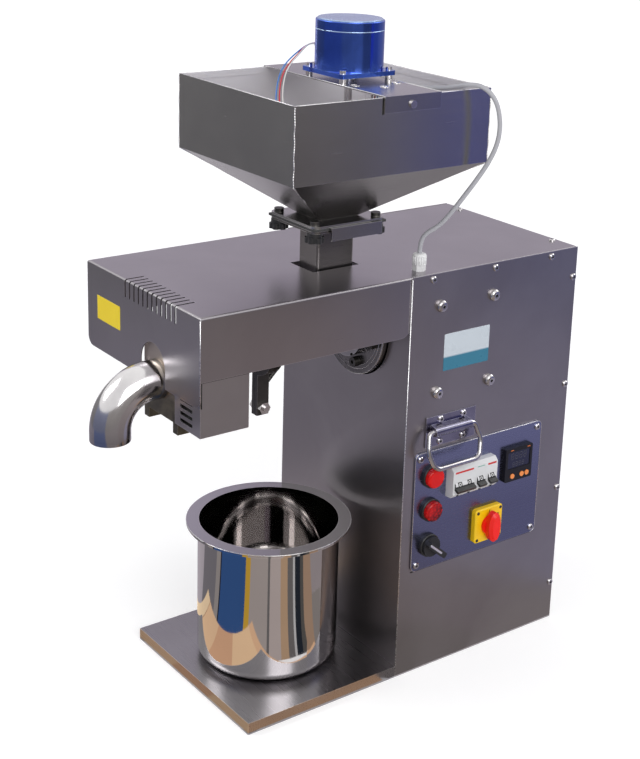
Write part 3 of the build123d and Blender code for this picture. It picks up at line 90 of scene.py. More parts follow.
right, up, back = camera_axes(camera_turn, camera_tilt, camera_roll)
lens_data = bpy.data.cameras.new("press_camera")
lens_data.sensor_width = 36.0
lens_data.lens = focal_pixels / picture_height * lens_data.sensor_width
lens_data.shift_x = (picture_width / 2 - centre_pixel[0]) / picture_height
lens_data.shift_y = (centre_pixel[1] - picture_height / 2) / picture_height
lens_data.clip_start = 0.05
lens_data.clip_end = 60.0
camera = place_object("press_camera", lens_data)
camera.matrix_world = Matrix.Translation(camera_place) @ Matrix((right, up, back)).transposed().to_4x4()
bpy.context.scene.camera = camera
bpy.context.scene.view_settings.view_transform = "Standard"
print("lens", round(lens_data.lens, 1), "mm, shift", round(lens_data.shift_x, 3), round(lens_data.shift_y, 3))

# %% [markdown]
# ## The wires
#
# Four flexible things show. A grey cable hangs in an arc from under the bridge plate down to the white gland
# on the lid. Three thin leads come out of the stirrer motor's side, droop into the hopper and pass under the
# bridge to the terminal block. Each one is a single smooth NURBS curve through a handful of control points,
# because a wire has one flowing line, and a round bevel gives it thickness. The order of the spline is set
# after its points are in, or Blender would leave it as straight runs. The thickness is written into the
# points' own radius, in metres, with a bevel of one, because Blender pads a curve's bounding box by that
# radius.

# %% A helper that lays a wire
millimetre = 0.001


def lay_wire(name, route, radius):
    """One smooth open curve through the route's control points, given in millimetres."""
    curve = bpy.data.curves.new(name, "CURVE")
    curve.dimensions = "3D"
    spline = curve.splines.new("NURBS")
    spline.points.add(len(route) - 1)
    for point, place in zip(spline.points, route):
        point.co = (*[c * millimetre for c in place], 1.0)
        point.radius = radius
    spline.order_u = 3
    spline.use_endpoint_u = True
    spline.resolution_u = 8
    curve.bevel_depth = 1.0
    curve.bevel_resolution = 4
    curve.use_fill_caps = True
    return place_object(name, curve)


print("wire helper ready")

# %% [markdown]
# ### The grey cable
#
# The picture shows nearly all of it, about a third of a metre. Only the short run under the bridge is hidden.
# It rises over the bridge's edge, bulges outwards past the hopper's corner and drops into the gland.

# %% Lay the grey cable
cable_route = [
    (90, 4, 771.5), (90, 14, 771.5), (95, 27, 772.5), (108, 41, 774), (126, 52, 776), (142, 58, 781),
    (154, 62, 783.5), (163.5, 66.5, 783), (171, 72, 778.5), (176.5, 78.5, 769), (179, 84, 755),
    (180, 87, 735), (178.5, 85.5, 714), (172, 79.3, 691.3), (163, 69.7, 669), (153.5, 59.5, 648),
    (143, 50.1, 626.6), (131, 41.5, 607.5), (117, 32.5, 596.5), (111, 29, 583.5), (111, 29, 570),
]
cable_radius = 2.9 * millimetre
cable = lay_wire("grey_cable", cable_route, cable_radius)
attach(cable, "press")
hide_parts("power_cable")
print("grey cable laid through", len(cable_route), "points")

# %% [markdown]
# ### The three motor leads
#
# They leave the motor close together through a small grommet, one light blue, one red and one white. They run
# side by side without touching, because three separate curves in one place would cut through each other.

# %% Lay the motor leads
lead_radius = 0.9 * millimetre
lead_routes = {
    "lead_blue": [
        (-15.04, -43.54, 816), (-21.38, -46.5, 816), (-25, -54, 812.5), (-24, -66, 806), (-24, -78, 798),
        (-24.5, -87, 789), (-24, -93, 779), (-22.5, -97, 767), (-18, -101.5, 755), (-8, -107.5, 746.5),
        (10, -113.5, 743.5), (35, -116, 742.5), (62, -116.5, 742.5), (88, -115, 743.5),
        (110, -111, 745.5), (127, -103.5, 748.5), (136, -93, 752.5), (137.5, -81, 757),
        (133, -69, 761.5), (123, -57, 765.5), (110, -45.5, 769), (99.5, -36, 771.5), (95, -28.5, 772),
        (95, -22, 772),
    ],
    "lead_red": [
        (-13.69, -46.44, 816), (-20.03, -49.4, 816), (-22, -57.5, 812), (-20.5, -68.5, 803.5),
        (-19.5, -80, 795), (-20, -87.5, 786), (-20, -92.5, 775.6), (-18.8, -95.5, 765),
        (-14.5, -99, 754.5), (-4.5, -105, 747), (12, -110.2, 744.2), (36, -112.6, 743.2),
        (62, -113.1, 743.2), (87, -111.7, 744.2), (108, -107.8, 746.2), (124, -100.8, 749.2),
        (132.4, -91, 753), (133.8, -80.5, 757.5), (129.5, -69.5, 762), (119, -57.5, 766),
        (105.5, -46, 769.2), (94.5, -36, 771.5), (90, -28.5, 772), (90, -22, 772),
    ],
    "lead_white": [
        (-12.34, -49.34, 816), (-19.59, -52.72, 816), (-18.8, -61, 810.5), (-16.8, -70.5, 803),
        (-15.2, -81, 795.5), (-16, -87.3, 786), (-16, -91, 775.9), (-15, -93.5, 764.5),
        (-11, -96.5, 754), (-1, -102, 747.2), (14, -106.9, 744.8), (37, -109.2, 743.9),
        (62, -109.7, 743.9), (86, -108.4, 744.9), (106, -104.6, 746.9), (121, -98, 749.8),
        (128.8, -89, 753.6), (130.2, -80, 758), (126, -70, 762.5), (115, -58, 766.4),
        (101, -46.5, 769.5), (89.5, -36.5, 771.5), (85, -28.5, 772), (85, -22, 772),
    ],
}
leads = {}
for name, route in lead_routes.items():
    lead = lay_wire(name, route, lead_radius)
    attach(lead, "press")
    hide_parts("motor_leads")
    leads[name] = lead
print("leads laid:", ", ".join(leads))

# %% [markdown]
# ## Helpers for nodes
#
# The room, the floor and every finish are built from shader nodes. A few small helpers keep that readable:
# one starts a material, one adds a node and sets its values, one maps a range, one is a Math node, and one
# gives the place of a point in object coordinates, which are real metres here.

# %% Helpers for nodes
def start_material(name):
    """A material with a clean Principled shader."""
    material = bpy.data.materials.new(name)
    material.use_nodes = True
    return material, material.node_tree, material.node_tree.nodes["Principled BSDF"]


def add_node(tree, kind, settings=None, **values):
    """Adds a node, sets its options and the values of its named sockets."""
    node = tree.nodes.new(kind)
    for option, value in (settings or {}).items():
        setattr(node, option, value)
    for label, value in values.items():
        node.inputs[label.replace("_", " ").title()].default_value = value
    return node


def ramp(tree, socket, low, high, start, end):
    """A value that goes from start to end while the socket goes from low to high."""
    node = add_node(tree, "ShaderNodeMapRange", None, from_min=low, from_max=high, to_min=start, to_max=end)
    tree.links.new(socket, node.inputs["Value"])
    return node.outputs["Result"]


def combine(tree, kind, first, second=0.0):
    """One Math node. The second term may be a number."""
    node = add_node(tree, "ShaderNodeMath", {"operation": kind})
    tree.links.new(first, node.inputs[0])
    if isinstance(second, bpy.types.NodeSocket):
        tree.links.new(second, node.inputs[1])
    else:
        node.inputs[1].default_value = second
    return node.outputs[0]


def object_place(tree):
    """The place of a point in object coordinates."""
    return add_node(tree, "ShaderNodeTexCoord").outputs["Object"]


print("node helpers ready")

# %% [markdown]
# ## Floor, sky and lamps
#
# The machine stands on a plain white floor in a bright room. The room is a white world that the camera,
# mirrors and glass see at full strength, while the light it gives to matt surfaces is kept lower, so that
# colours come out as they are written.

# %% White room
def seen_directly(tree):
    """1 for camera, glossy and transmission rays, 0 for the rays that only carry light."""
    rays = add_node(tree, "ShaderNodeLightPath").outputs
    either = combine(tree, "MAXIMUM", rays["Is Camera Ray"], rays["Is Glossy Ray"])
    return combine(tree, "MAXIMUM", either, rays["Is Transmission Ray"])


room_fill = 0.55
world = bpy.data.worlds.new("white_room")
bpy.context.scene.world = world
world.use_nodes = True
sky = world.node_tree
sky.nodes.clear()
sky_out = add_node(sky, "ShaderNodeOutputWorld")
sky_light = add_node(sky, "ShaderNodeBackground", color=(1.0, 1.0, 1.0, 1.0))
sky.links.new(ramp(sky, seen_directly(sky), 0.0, 1.0, room_fill, 1.0), sky_light.inputs["Strength"])
sky.links.new(sky_light.outputs[0], sky_out.inputs["Surface"])
print("world fill", room_fill)

# %% [markdown]
# The floor is one large square. Its paint is a matt white with a little of its own glow for the rays that
# look at it directly, which lifts it to the clean white of a product picture and leaves the contact shadow
# visible. Far from the machine the glow doubles, so that the floor runs into the white room without an edge.

# %% Floor
def sheet_object(name, points, faces):
    """An object from points in metres and the faces between them."""
    mesh = bpy.data.meshes.new(name)
    mesh.from_pydata(points, [], faces)
    return place_object(name, mesh)


floor_half = 16.0
floor_glow = 0.30
glow_starts, glow_doubles = 1.0, 4.5
floor_corners = [(x * floor_half, y * floor_half, 0.0) for x, y in ((-1, -1), (1, -1), (1, 1), (-1, 1))]
floor = sheet_object("studio_floor", floor_corners, [(0, 1, 2, 3)])
floor_paint, paint, paint_shader = start_material("floor_white")
paint_shader.inputs["Base Color"].default_value = (0.86, 0.86, 0.87, 1.0)
paint_shader.inputs["Roughness"].default_value = 0.9
paint_shader.inputs["Emission Color"].default_value = (1.0, 1.0, 1.0, 1.0)
floor_reach = add_node(paint, "ShaderNodeVectorMath", {"operation": "LENGTH"})
paint.links.new(object_place(paint), floor_reach.inputs[0])
near_glow = ramp(paint, seen_directly(paint), 0.0, 1.0, 0.0, floor_glow)
far_glow = ramp(paint, floor_reach.outputs["Value"], glow_starts, glow_doubles, 1.0, 2.0)
paint.links.new(combine(paint, "MULTIPLY", near_glow, far_glow), paint_shader.inputs["Emission Strength"])
floor.data.materials.append(floor_paint)
print("floor", [round(s, 1) for s in floor.dimensions[:2]], "m")

# %% [markdown]
# Three large soft lamps light the machine: one high on the left, one broad and gentle on the right and one
# from behind that draws the bright line along the folds. Area lamps give soft-edged shadows, as a studio
# does.

# %% Soft lamps
def soft_lamp(name, place, aim, size, power):
    """A square area lamp that looks at a point."""
    data = bpy.data.lights.new(name, "AREA")
    data.shape = "SQUARE"
    data.size = size
    data.energy = power
    lamp = place_object(name, data)
    lamp.location = place
    lamp.rotation_mode = "QUATERNION"
    lamp.rotation_quaternion = (Vector(aim) - Vector(place)).to_track_quat("-Z", "Y")


middle = (0.0, 0.0, 0.45)
soft_lamp("key_lamp", (-1.6, -2.2, 2.6), middle, 1.6, 38.0)
soft_lamp("side_lamp", (2.6, -0.6, 1.8), middle, 1.8, 40.0)
soft_lamp("back_lamp", (0.8, 2.6, 2.4), middle, 1.4, 22.0)

# %% [markdown]
# ## What the steel reflects
#
# Polished metal has hardly any colour of its own, it shows the room. In the picture the press stood on a
# pale wooden bench, among grey walls with a blue door and some dark posts, and those are the upright stripes
# in the bowl and the warm and blue tints on the sheets. A photographer would put coloured cards round the
# machine. Ours are arcs round the bowl that only glossy rays can see: they tint reflections, and they
# neither light the machine nor show in the picture. Their angle is counted from +X, seen from above.

# %% A helper for a reflection card
card_glow = bpy.data.materials.new("card_glow")
card_glow.use_nodes = True
glow_tree = card_glow.node_tree
glow_tree.nodes.clear()
own_colour = add_node(glow_tree, "ShaderNodeObjectInfo").outputs["Color"]
glow = add_node(glow_tree, "ShaderNodeEmission")
glow_out = add_node(glow_tree, "ShaderNodeOutputMaterial")
glow_tree.links.new(own_colour, glow.inputs["Color"])
glow_tree.links.new(glow.outputs[0], glow_out.inputs["Surface"])
bowl_middle = Vector((0.0, -0.112, 0.0))
degrees_per_face = 6


def place_card(name, points, faces, colour):
    """A card of one colour, hidden from every ray but the glossy ones."""
    card = sheet_object(name, points, faces)
    card.data.materials.append(card_glow)
    card.color = (*colour, 1.0)
    card.visible_camera = False
    card.visible_diffuse = False
    card.visible_transmission = False
    card.visible_volume_scatter = False
    card.visible_shadow = False


def arc_card(name, near, far, first, last, colour):
    """A strip from the ring near to the ring far, both (radius, height), between two angles in degrees."""
    steps = max(2, int(abs(last - first) / degrees_per_face))
    points = []
    for number in range(steps + 1):
        angle = math.radians(first + (last - first) * number / steps)
        for radius, height in (near, far):
            points.append(bowl_middle + Vector((radius * math.cos(angle), radius * math.sin(angle), height)))
    faces = [(corner, corner + 1, corner + 3, corner + 2) for corner in range(0, 2 * steps, 2)]
    place_card(name, points, faces, colour)


def plank_card(name, left, right_edge, back_edge, colour):
    """A plank of the bench, from its front edge to a back edge, in metres."""
    corners = ((left, bench_front), (right_edge, bench_front), (right_edge, back_edge), (left, back_edge))
    place_card(name, [(x, y, bench_lift) for x, y in corners], [(0, 1, 2, 3)], colour)


print("card paint:", card_glow.name)

# %% [markdown]
# The near cards lie on the floor and make the stripes in the bowl, which is low and sees only what is close.
# The far cards and the standing ones are broad and calm, because the tall sheets see further out. Last comes
# the bench itself, a row of warm planks under the machine, which gives the bowl its tan petals and the base
# its brown rim.

# %% Place the cards on the floor
inner_ring, middle_ring, outer_ring = 0.17, 0.50, 1.7
side_ring, side_angles = 0.32, (32, 60)
floor_lift, wood_lift, wood_ring = 0.002, 0.004, 1.25
standing_top, door_ring, door_foot = 0.8, 1.69, 0.24
high_ring, high_foot, high_top = 3.0, 0.3, 2.4
bench_front, bench_back, beside_cabinet, bench_lift = -0.33, 0.298, -0.02, 0.003
near_stripes = [
    (-180, -148, (0.46, 0.42, 0.46)), (-148, -116, (0.20, 0.19, 0.21)), (-116, -108, (0.34, 0.31, 0.30)),
    (-108, -106, (0.02, 0.02, 0.03)), (-106, -66, (0.04, 0.10, 0.27)), (-66, -59, (0.62, 0.38, 0.05)),
    (-59, -34, (0.42, 0.37, 0.35)), (-34, -31, (0.16, 0.15, 0.15)), (-31, -16, (0.50, 0.43, 0.41)),
    (-16, -6, (0.50, 0.34, 0.22)), (-6, 2, (0.16, 0.15, 0.15)), (2, 5, (0.55, 0.55, 0.56)),
    (5, 13, (0.02, 0.025, 0.035)), (13, 18, (0.10, 0.095, 0.09)), (18, 32, (0.40, 0.27, 0.19)),
    (32, 47, (0.27, 0.245, 0.235)), (47, 60, (0.31, 0.28, 0.275)), (60, 110, (0.37, 0.335, 0.335)),
    (110, 180, (0.40, 0.38, 0.42)),
]
for number, (first, last, colour) in enumerate(near_stripes):
    beside = side_angles[0] <= first < side_angles[1]
    reach = side_ring if beside else middle_ring
    arc_card(f"near_card_{number}", (inner_ring, floor_lift), (reach, floor_lift), first, last, colour)
arc_card("side_card", (side_ring, floor_lift), (middle_ring, floor_lift), *side_angles, (0.34, 0.30, 0.31))
far_stripes = [
    (-180, -118, (0.33, 0.31, 0.36)), (-118, -60, (0.16, 0.20, 0.36)), (-60, 0, (0.36, 0.33, 0.33)),
    (0, 38, (0.34, 0.30, 0.30)), (38, 75, (0.40, 0.38, 0.49)), (75, 120, (0.36, 0.34, 0.40)),
    (120, 180, (0.5, 0.47, 0.52)),
]
for number, (first, last, colour) in enumerate(far_stripes):
    arc_card(f"far_card_{number}", (middle_ring, floor_lift), (outer_ring, floor_lift), first, last, colour)

# %% [markdown]
# The standing cards are the walls of this small studio. The bench's planks lie flat under the machine and,
# like every card, show only in reflections.

# %% Place the standing cards and the bench
arc_card("wood_card", (wood_ring, wood_lift), (outer_ring, wood_lift), 23, 35, (0.44, 0.33, 0.27))
standing_stripes = [
    (-180, -130, (0.24, 0.235, 0.245)), (-130, -60, (0.22, 0.24, 0.34)), (-60, 10, (0.34, 0.32, 0.31)),
    (10, 39, (0.18, 0.165, 0.16)), (39, 70, (0.20, 0.21, 0.34)), (70, 120, (0.36, 0.34, 0.40)),
]
for number, (first, last, colour) in enumerate(standing_stripes):
    arc_card(f"standing_card_{number}", (outer_ring, 0.0), (outer_ring, standing_top), first, last, colour)
arc_card("blue_door_card", (door_ring, door_foot), (door_ring, standing_top), 39.5, 48, (0.10, 0.115, 0.50))
arc_card("high_card", (high_ring, high_foot), (high_ring, high_top), 110, 175, (0.60, 0.55, 0.64))
planks = [
    (-0.192, -0.150, (0.92, 0.70, 0.46)), (-0.150, -0.147, (0.45, 0.28, 0.18)),
    (-0.147, -0.05, (0.86, 0.58, 0.36)), (-0.05, 0.04, (0.74, 0.44, 0.27)), (0.04, 0.134, (0.90, 0.62, 0.38)),
]
for number, (left, right_edge, colour) in enumerate(planks):
    plank_card(f"bench_card_{number}", left, right_edge, bench_back, colour)
plank_card("bench_card_end", 0.134, 0.158, beside_cabinet, (0.82, 0.52, 0.32))

# %% [markdown]
# ## Shared effects
#
# Real sheet steel is never one tone. It has fine lines from rolling and polishing, cloudy areas where hands
# and cloths have been, and brighter edges, partly where it is rubbed and partly a painted highlight where an
# edge catches the light. Each of these effects is a node group with named inputs, so every finish can use it
# with its own values. The pattern follows object coordinates, so a grain has the same size on a screw and on
# a cabinet.

# %% Helpers for node groups
def start_group(name, inputs, outputs):
    """A shader node group and its two end nodes. Inputs are values or vectors, outputs are values."""
    kinds = {"value": "NodeSocketFloat", "vector": "NodeSocketVector"}
    group = bpy.data.node_groups.new(name, "ShaderNodeTree")
    for label, kind, default in inputs:
        socket = group.interface.new_socket(name=label, in_out="INPUT", socket_type=kinds[kind])
        socket.default_value = default
    for label in outputs:
        group.interface.new_socket(name=label, in_out="OUTPUT", socket_type=kinds["value"])
    return group, group.nodes.new("NodeGroupInput"), group.nodes.new("NodeGroupOutput")


def add_noise(tree, place, **values):
    """A Noise node at a place, with the values of its sockets."""
    node = add_node(tree, "ShaderNodeTexNoise", None, **values)
    tree.links.new(place, node.inputs["Vector"])
    return node


print("group helpers ready")

# %% [markdown]
# ### Grain
#
# Noise that is squeezed across the sheet and stretched along it looks like rolled or brushed metal. The input
# called Stretch is how many waves there are per metre along X, Y and Z: a small number runs long.

# %% Grain group
grain, grain_in, grain_out = start_group(
    "grain", [("Stretch", "vector", (400.0, 400.0, 6.0)), ("Depth", "value", 1.0)], ["Streak", "Height"])
pull = add_node(grain, "ShaderNodeVectorMath", {"operation": "MULTIPLY"})
grain.links.new(object_place(grain), pull.inputs[0])
grain.links.new(grain_in.outputs["Stretch"], pull.inputs[1])
streaks = add_noise(grain, pull.outputs[0], scale=1.0, detail=4.0, roughness=0.6).outputs["Fac"]
grain.links.new(streaks, grain_out.inputs["Streak"])
grain.links.new(combine(grain, "MULTIPLY", streaks, grain_in.outputs["Depth"]), grain_out.inputs["Height"])
print("group", grain.name, "with", len(grain.nodes), "nodes")

# %% [markdown]
# ### Clouding
#
# Slow, soft patches. The same patches drive colour and roughness, as a smear on steel changes both.

# %% Clouding group
clouding, cloud_in, cloud_out = start_group(
    "clouding", [("Size", "value", 6.0), ("Low", "value", 0.0), ("High", "value", 1.0)], ["Value"])
patches = add_noise(clouding, object_place(clouding), detail=5.0, roughness=0.55, distortion=0.4)
clouding.links.new(cloud_in.outputs["Size"], patches.inputs["Scale"])
levels = ramp(clouding, patches.outputs["Fac"], 0.3, 0.7, 0.0, 1.0)
levels.node.interpolation_type = "SMOOTHSTEP"
clouding.links.new(cloud_in.outputs["Low"], levels.node.inputs["To Min"])
clouding.links.new(cloud_in.outputs["High"], levels.node.inputs["To Max"])
clouding.links.new(levels, cloud_out.inputs["Value"])
print("group", clouding.name, "with", len(clouding.nodes), "nodes")

# %% [markdown]
# ### Rubbed edges and painted edge highlights
#
# The Bevel node gives the normal that a rounded edge would have. Where it differs from the true normal there
# is an edge, and the difference makes a mask that is broken up with a little noise. The finishes lighten
# their edges with it, partly as wear and partly as a painted highlight of the light that a rounded edge
# catches.

# %% Edge group
edges, edge_in, edge_out = start_group(
    "edge scuff and sheen", [("Width", "value", 0.0015), ("Strength", "value", 1.0)], ["Edge"])
rounded = add_node(edges, "ShaderNodeBevel", {"samples": 6})
edges.links.new(edge_in.outputs["Width"], rounded.inputs["Radius"])
likeness = add_node(edges, "ShaderNodeVectorMath", {"operation": "DOT_PRODUCT"})
edges.links.new(rounded.outputs["Normal"], likeness.inputs[0])
edges.links.new(add_node(edges, "ShaderNodeNewGeometry").outputs["Normal"], likeness.inputs[1])
found = ramp(edges, likeness.outputs["Value"], 0.995, 0.86, 0.0, 1.0)
chips = add_noise(edges, object_place(edges), scale=180.0, detail=3.0)
broken = ramp(edges, chips.outputs["Fac"], 0.3, 0.6, 0.55, 1.0)
strong = combine(edges, "MULTIPLY", combine(edges, "MULTIPLY", found, broken), edge_in.outputs["Strength"])
strong.node.use_clamp = True
edges.links.new(strong, edge_out.inputs["Edge"])
print("group", edges.name, "with", len(edges.nodes), "nodes")

# %% [markdown]
# ### Moulded grain
#
# Plastic from a mould is covered in tiny soft pits. Two noises at different sizes give a height for the bump.

# %% Moulded grain group
moulded, mould_in, mould_out = start_group("moulded grain", [("Size", "value", 1800.0)], ["Height", "Mottle"])
mould_place = object_place(moulded)
pits = add_noise(moulded, mould_place, detail=2.0, roughness=0.5)
moulded.links.new(mould_in.outputs["Size"], pits.inputs["Scale"])
slow = add_noise(moulded, mould_place, scale=40.0, detail=3.0)
moulded.links.new(pits.outputs["Fac"], mould_out.inputs["Height"])
moulded.links.new(slow.outputs["Fac"], mould_out.inputs["Mottle"])
print("group", moulded.name, "with", len(moulded.nodes), "nodes")

# %% [markdown]
# ## Finishes
#
# Two recipes make most of the machine: one for metal and one for moulded plastic or paint. A recipe is a
# function that builds the nodes in the material itself, so that the Principled shader and its own settings
# stay in plain view there. What differs between two steels is only the numbers that go in.

# %% Helpers for a material
def use_group(tree, group, **values):
    """Places a group in a material with its own values."""
    node = tree.nodes.new("ShaderNodeGroup")
    node.node_tree = group
    for label, value in values.items():
        node.inputs[label.title()].default_value = value
    return node


def blend_colours(tree, mask, first, second):
    """A colour that goes from the first to the second where the mask rises. Colours may be sockets."""
    mix = add_node(tree, "ShaderNodeMix", {"data_type": "RGBA"})
    tree.links.new(mask, mix.inputs[0])
    for socket, colour in ((mix.inputs[6], first), (mix.inputs[7], second)):
        if isinstance(colour, bpy.types.NodeSocket):
            tree.links.new(colour, socket)
        else:
            socket.default_value = (*colour, 1.0)
    return mix.outputs[2]


def add_relief(tree, shader, height, strength, distance):
    """Tilts the surface by a height, without moving it."""
    bump = add_node(tree, "ShaderNodeBump", None, strength=strength, distance=distance)
    tree.links.new(height, bump.inputs["Height"])
    tree.links.new(bump.outputs["Normal"], shader.inputs["Normal"])


def dress(material, *names):
    """Gives a material to CAD parts by name."""
    for name in names:
        slots = nodes[name].data.materials
        slots.clear()
        slots.append(material)


print("material helpers ready")

# %% [markdown]
# A metal's colour lives in its reflections, so the recipe keeps Metallic at one and spends its nodes on
# tone, roughness and a very shallow grain. A finish that differs in one place, such as the scuffed inside of
# a hopper, hands in a small function that changes the tone there.

# %% The metal recipe
def metal(name, light, dark, edge, rough, stretch=(300.0, 300.0, 300.0), depth=0.02, cloud=6.0, scuff_and_sheen=0.8,
          width=0.0012, change=None):
    """Steel, iron or aluminium: two tones in clouds, a grain, scuffed and painted-highlight edges, a
    wandering roughness.
    """
    material, tree, shader = start_material(name)
    shader.inputs["Metallic"].default_value = 1.0
    clouds = use_group(tree, clouding, size=cloud, low=0.0, high=1.0)
    tone = blend_colours(tree, clouds.outputs["Value"], light, dark)
    if change:
        tone = change(tree, shader, tone)
    rub = use_group(tree, edges, width=width, strength=scuff_and_sheen)
    tree.links.new(blend_colours(tree, rub.outputs["Edge"], tone, edge), shader.inputs["Base Color"])
    lines = use_group(tree, grain, stretch=stretch, depth=1.0)
    tree.links.new(ramp(tree, lines.outputs["Streak"], 0.2, 0.8, *rough), shader.inputs["Roughness"])
    add_relief(tree, shader, lines.outputs["Height"], depth, 0.001)
    return material


print("metal recipe ready")

# %% [markdown]
# Plastic and paint show their own colour under a clear surface. The recipe mottles the colour a little, pits
# the surface and lets the roughness wander, because a new moulding is never perfectly even.

# %% The plastic and paint recipe
def wander(tree, shader, mottle, low, high):
    """Lets the roughness wander between two values."""
    tree.links.new(ramp(tree, mottle, 0.0, 1.0, low, high), shader.inputs["Roughness"])


def plastic(name, light, dark, rough=0.4, size=1800.0, depth=0.05, edge=None, shine=0.5, change=None):
    """Moulded plastic or paint: a mottled colour, fine pits and slightly paler edges from scuffs and painted
    highlight.
    """
    material, tree, shader = start_material(name)
    shader.inputs["Specular IOR Level"].default_value = shine
    surface = use_group(tree, moulded, size=size)
    tone = blend_colours(tree, surface.outputs["Mottle"], light, dark)
    if change:
        tone = change(tree, shader, tone)
    rub = use_group(tree, edges, width=0.0006, strength=0.5)
    tree.links.new(blend_colours(tree, rub.outputs["Edge"], tone, edge or light), shader.inputs["Base Color"])
    wander(tree, shader, surface.outputs["Mottle"], rough - 0.06, rough + 0.08)
    add_relief(tree, shader, surface.outputs["Height"], depth, 0.0004)
    return material


print("plastic recipe ready")

# %% [markdown]
# ### Scuffs and shades that belong to one place
#
# The hopper is paler and less of a mirror on its inside. The inside is found from object coordinates: the
# sheet's middle surface is a box above the shoulder and a pyramid below it. The sizes are the hopper's own,
# in millimetres, and its welds use them again.

# %% The hopper's paler inside
hopper_middle, hopper_half = (28.0, -48.0), (123.5, 143.0)
hopper_foot_y, hopper_foot_half = -53.0, (24.5, 29.0)
hopper_foot_z, hopper_shoulder_z = 612.0, 686.0
half_sheet = 0.75


def places_of(tree):
    """X, Y and Z of a point in object coordinates, in metres."""
    parts = add_node(tree, "ShaderNodeSeparateXYZ")
    tree.links.new(object_place(tree), parts.inputs[0])
    return parts.outputs["X"], parts.outputs["Y"], parts.outputs["Z"]


def paler_inside(tree, shader, tone):
    """Pale and dull on the hopper's inside."""
    x, y, z = places_of(tree)

    def along_height(foot, shoulder):
        """A length in millimetres that changes from the hopper's foot to its shoulder."""
        return ramp(tree, z, hopper_foot_z * millimetre, hopper_shoulder_z * millimetre,
                    foot * millimetre, shoulder * millimetre)

    half_x, half_y = [along_height(foot - half_sheet, shoulder - half_sheet)
                      for foot, shoulder in zip(hopper_foot_half, hopper_half)]
    middle_y = along_height(hopper_foot_y, hopper_middle[1])
    off_x = combine(tree, "ABSOLUTE", combine(tree, "SUBTRACT", x, hopper_middle[0] * millimetre))
    off_y = combine(tree, "ABSOLUTE", combine(tree, "SUBTRACT", y, middle_y))
    within_x = combine(tree, "LESS_THAN", off_x, half_x)
    within_y = combine(tree, "LESS_THAN", off_y, half_y)
    inside = combine(tree, "MULTIPLY", within_x, within_y)
    tree.links.new(ramp(tree, inside, 0.0, 1.0, 1.0, 0.4), shader.inputs["Metallic"])
    return blend_colours(tree, inside, tone, (0.78, 0.76, 0.78))


print("hopper's inside begins", half_sheet, "mm from the sheet's middle")

# %% [markdown]
# The bowl's flat rim is greyer than its wall and darker towards the cabinet: a painted reflection of the dark
# cabinet and hood in the rim. The spout's mouth is painted darker than its bend, a painted reflection of the
# ground below it. The plate behind the spout is paler above the pipe than at its lugs, and the panel is
# painted a little lighter towards its top, where more light falls. The last three only shade up or down, so
# one small function makes them all.

# %% Shades along a height
# Where the rim's painted reflection of the cabinet begins and ends, along X and Y
rim_height = 0.2045
reflection_starts, reflection_ends = -0.237, 0.013


def bowl_rim_reflection(tree, shader, tone):
    """The bowl's flat rim, greyer towards the cabinet: a painted reflection of the cabinet's dark sheet."""
    x, y, z = places_of(tree)
    on_rim = combine(tree, "GREATER_THAN", z, rim_height)
    along = combine(tree, "ADD", combine(tree, "MULTIPLY", x, 0.75), y)
    cabinet_reflection = ramp(tree, along, reflection_starts, reflection_ends, 0.0, 1.0)
    grey = blend_colours(tree, cabinet_reflection, (0.43, 0.42, 0.45), (0.21, 0.20, 0.205))
    return blend_colours(tree, on_rim, tone, grey)


def shade_to(colour, from_height, to_height):
    """A change that blends a finish into a colour between two heights in metres."""
    def change(tree, shader, tone):
        z = places_of(tree)[2]
        return blend_colours(tree, ramp(tree, z, from_height, to_height, 0.0, 1.0), tone, colour)
    return change


# Painted reflection: the spout's mouth is darker, as it mirrors the ground below it.
painted_dark_mouth = shade_to((0.36, 0.345, 0.36), 0.43, 0.385)
# The plate behind the spout is paler above the pipe.
paler_above = shade_to((0.52, 0.46, 0.40), 0.425, 0.450)
# Painted light: the panel is lighter towards its top.
painted_top_light = shade_to((0.25, 0.27, 0.42), 0.20, 0.31)
print("bowl rim from z", rim_height, "m")

# %% [markdown]
# ### Sheet steel
#
# The cabinet, hood, base, hopper and small brackets are all bent from satin stainless sheet. In the picture
# it is a cool grey with a violet cast, and every fold shows a thin bright line. The grain runs along each
# sheet.

# %% Sheet steel finishes
cabinet_steel = metal("cabinet steel", (0.38, 0.36, 0.37), (0.33, 0.31, 0.32), (0.75, 0.74, 0.76),
                      (0.29, 0.35), stretch=(700.0, 700.0, 12.0), depth=0.006)
hood_steel = metal("hood steel", (0.38, 0.36, 0.38), (0.34, 0.32, 0.34), (0.78, 0.77, 0.80), (0.27, 0.30),
                   stretch=(1400.0, 30.0, 1100.0), depth=0.0025)
base_steel = metal("base steel", (0.32, 0.31, 0.325), (0.27, 0.26, 0.275), (0.8, 0.8, 0.82), (0.25, 0.32),
                   stretch=(10.0, 700.0, 700.0), depth=0.006)
hopper_steel = metal("hopper steel", (0.42, 0.41, 0.40), (0.35, 0.34, 0.34), (0.8, 0.79, 0.78), (0.22, 0.28),
                     stretch=(12.0, 12.0, 900.0), depth=0.0025, change=paler_inside)
small_steel = metal("small sheet steel", (0.36, 0.35, 0.36), (0.31, 0.30, 0.31), (0.8, 0.79, 0.78),
                    (0.22, 0.28), stretch=(12.0, 700.0, 700.0), depth=0.006)
chute_steel = metal("chute steel", (0.19, 0.18, 0.175), (0.15, 0.14, 0.14), (0.8, 0.79, 0.78), (0.25, 0.33),
                    stretch=(12.0, 12.0, 700.0), depth=0.006)
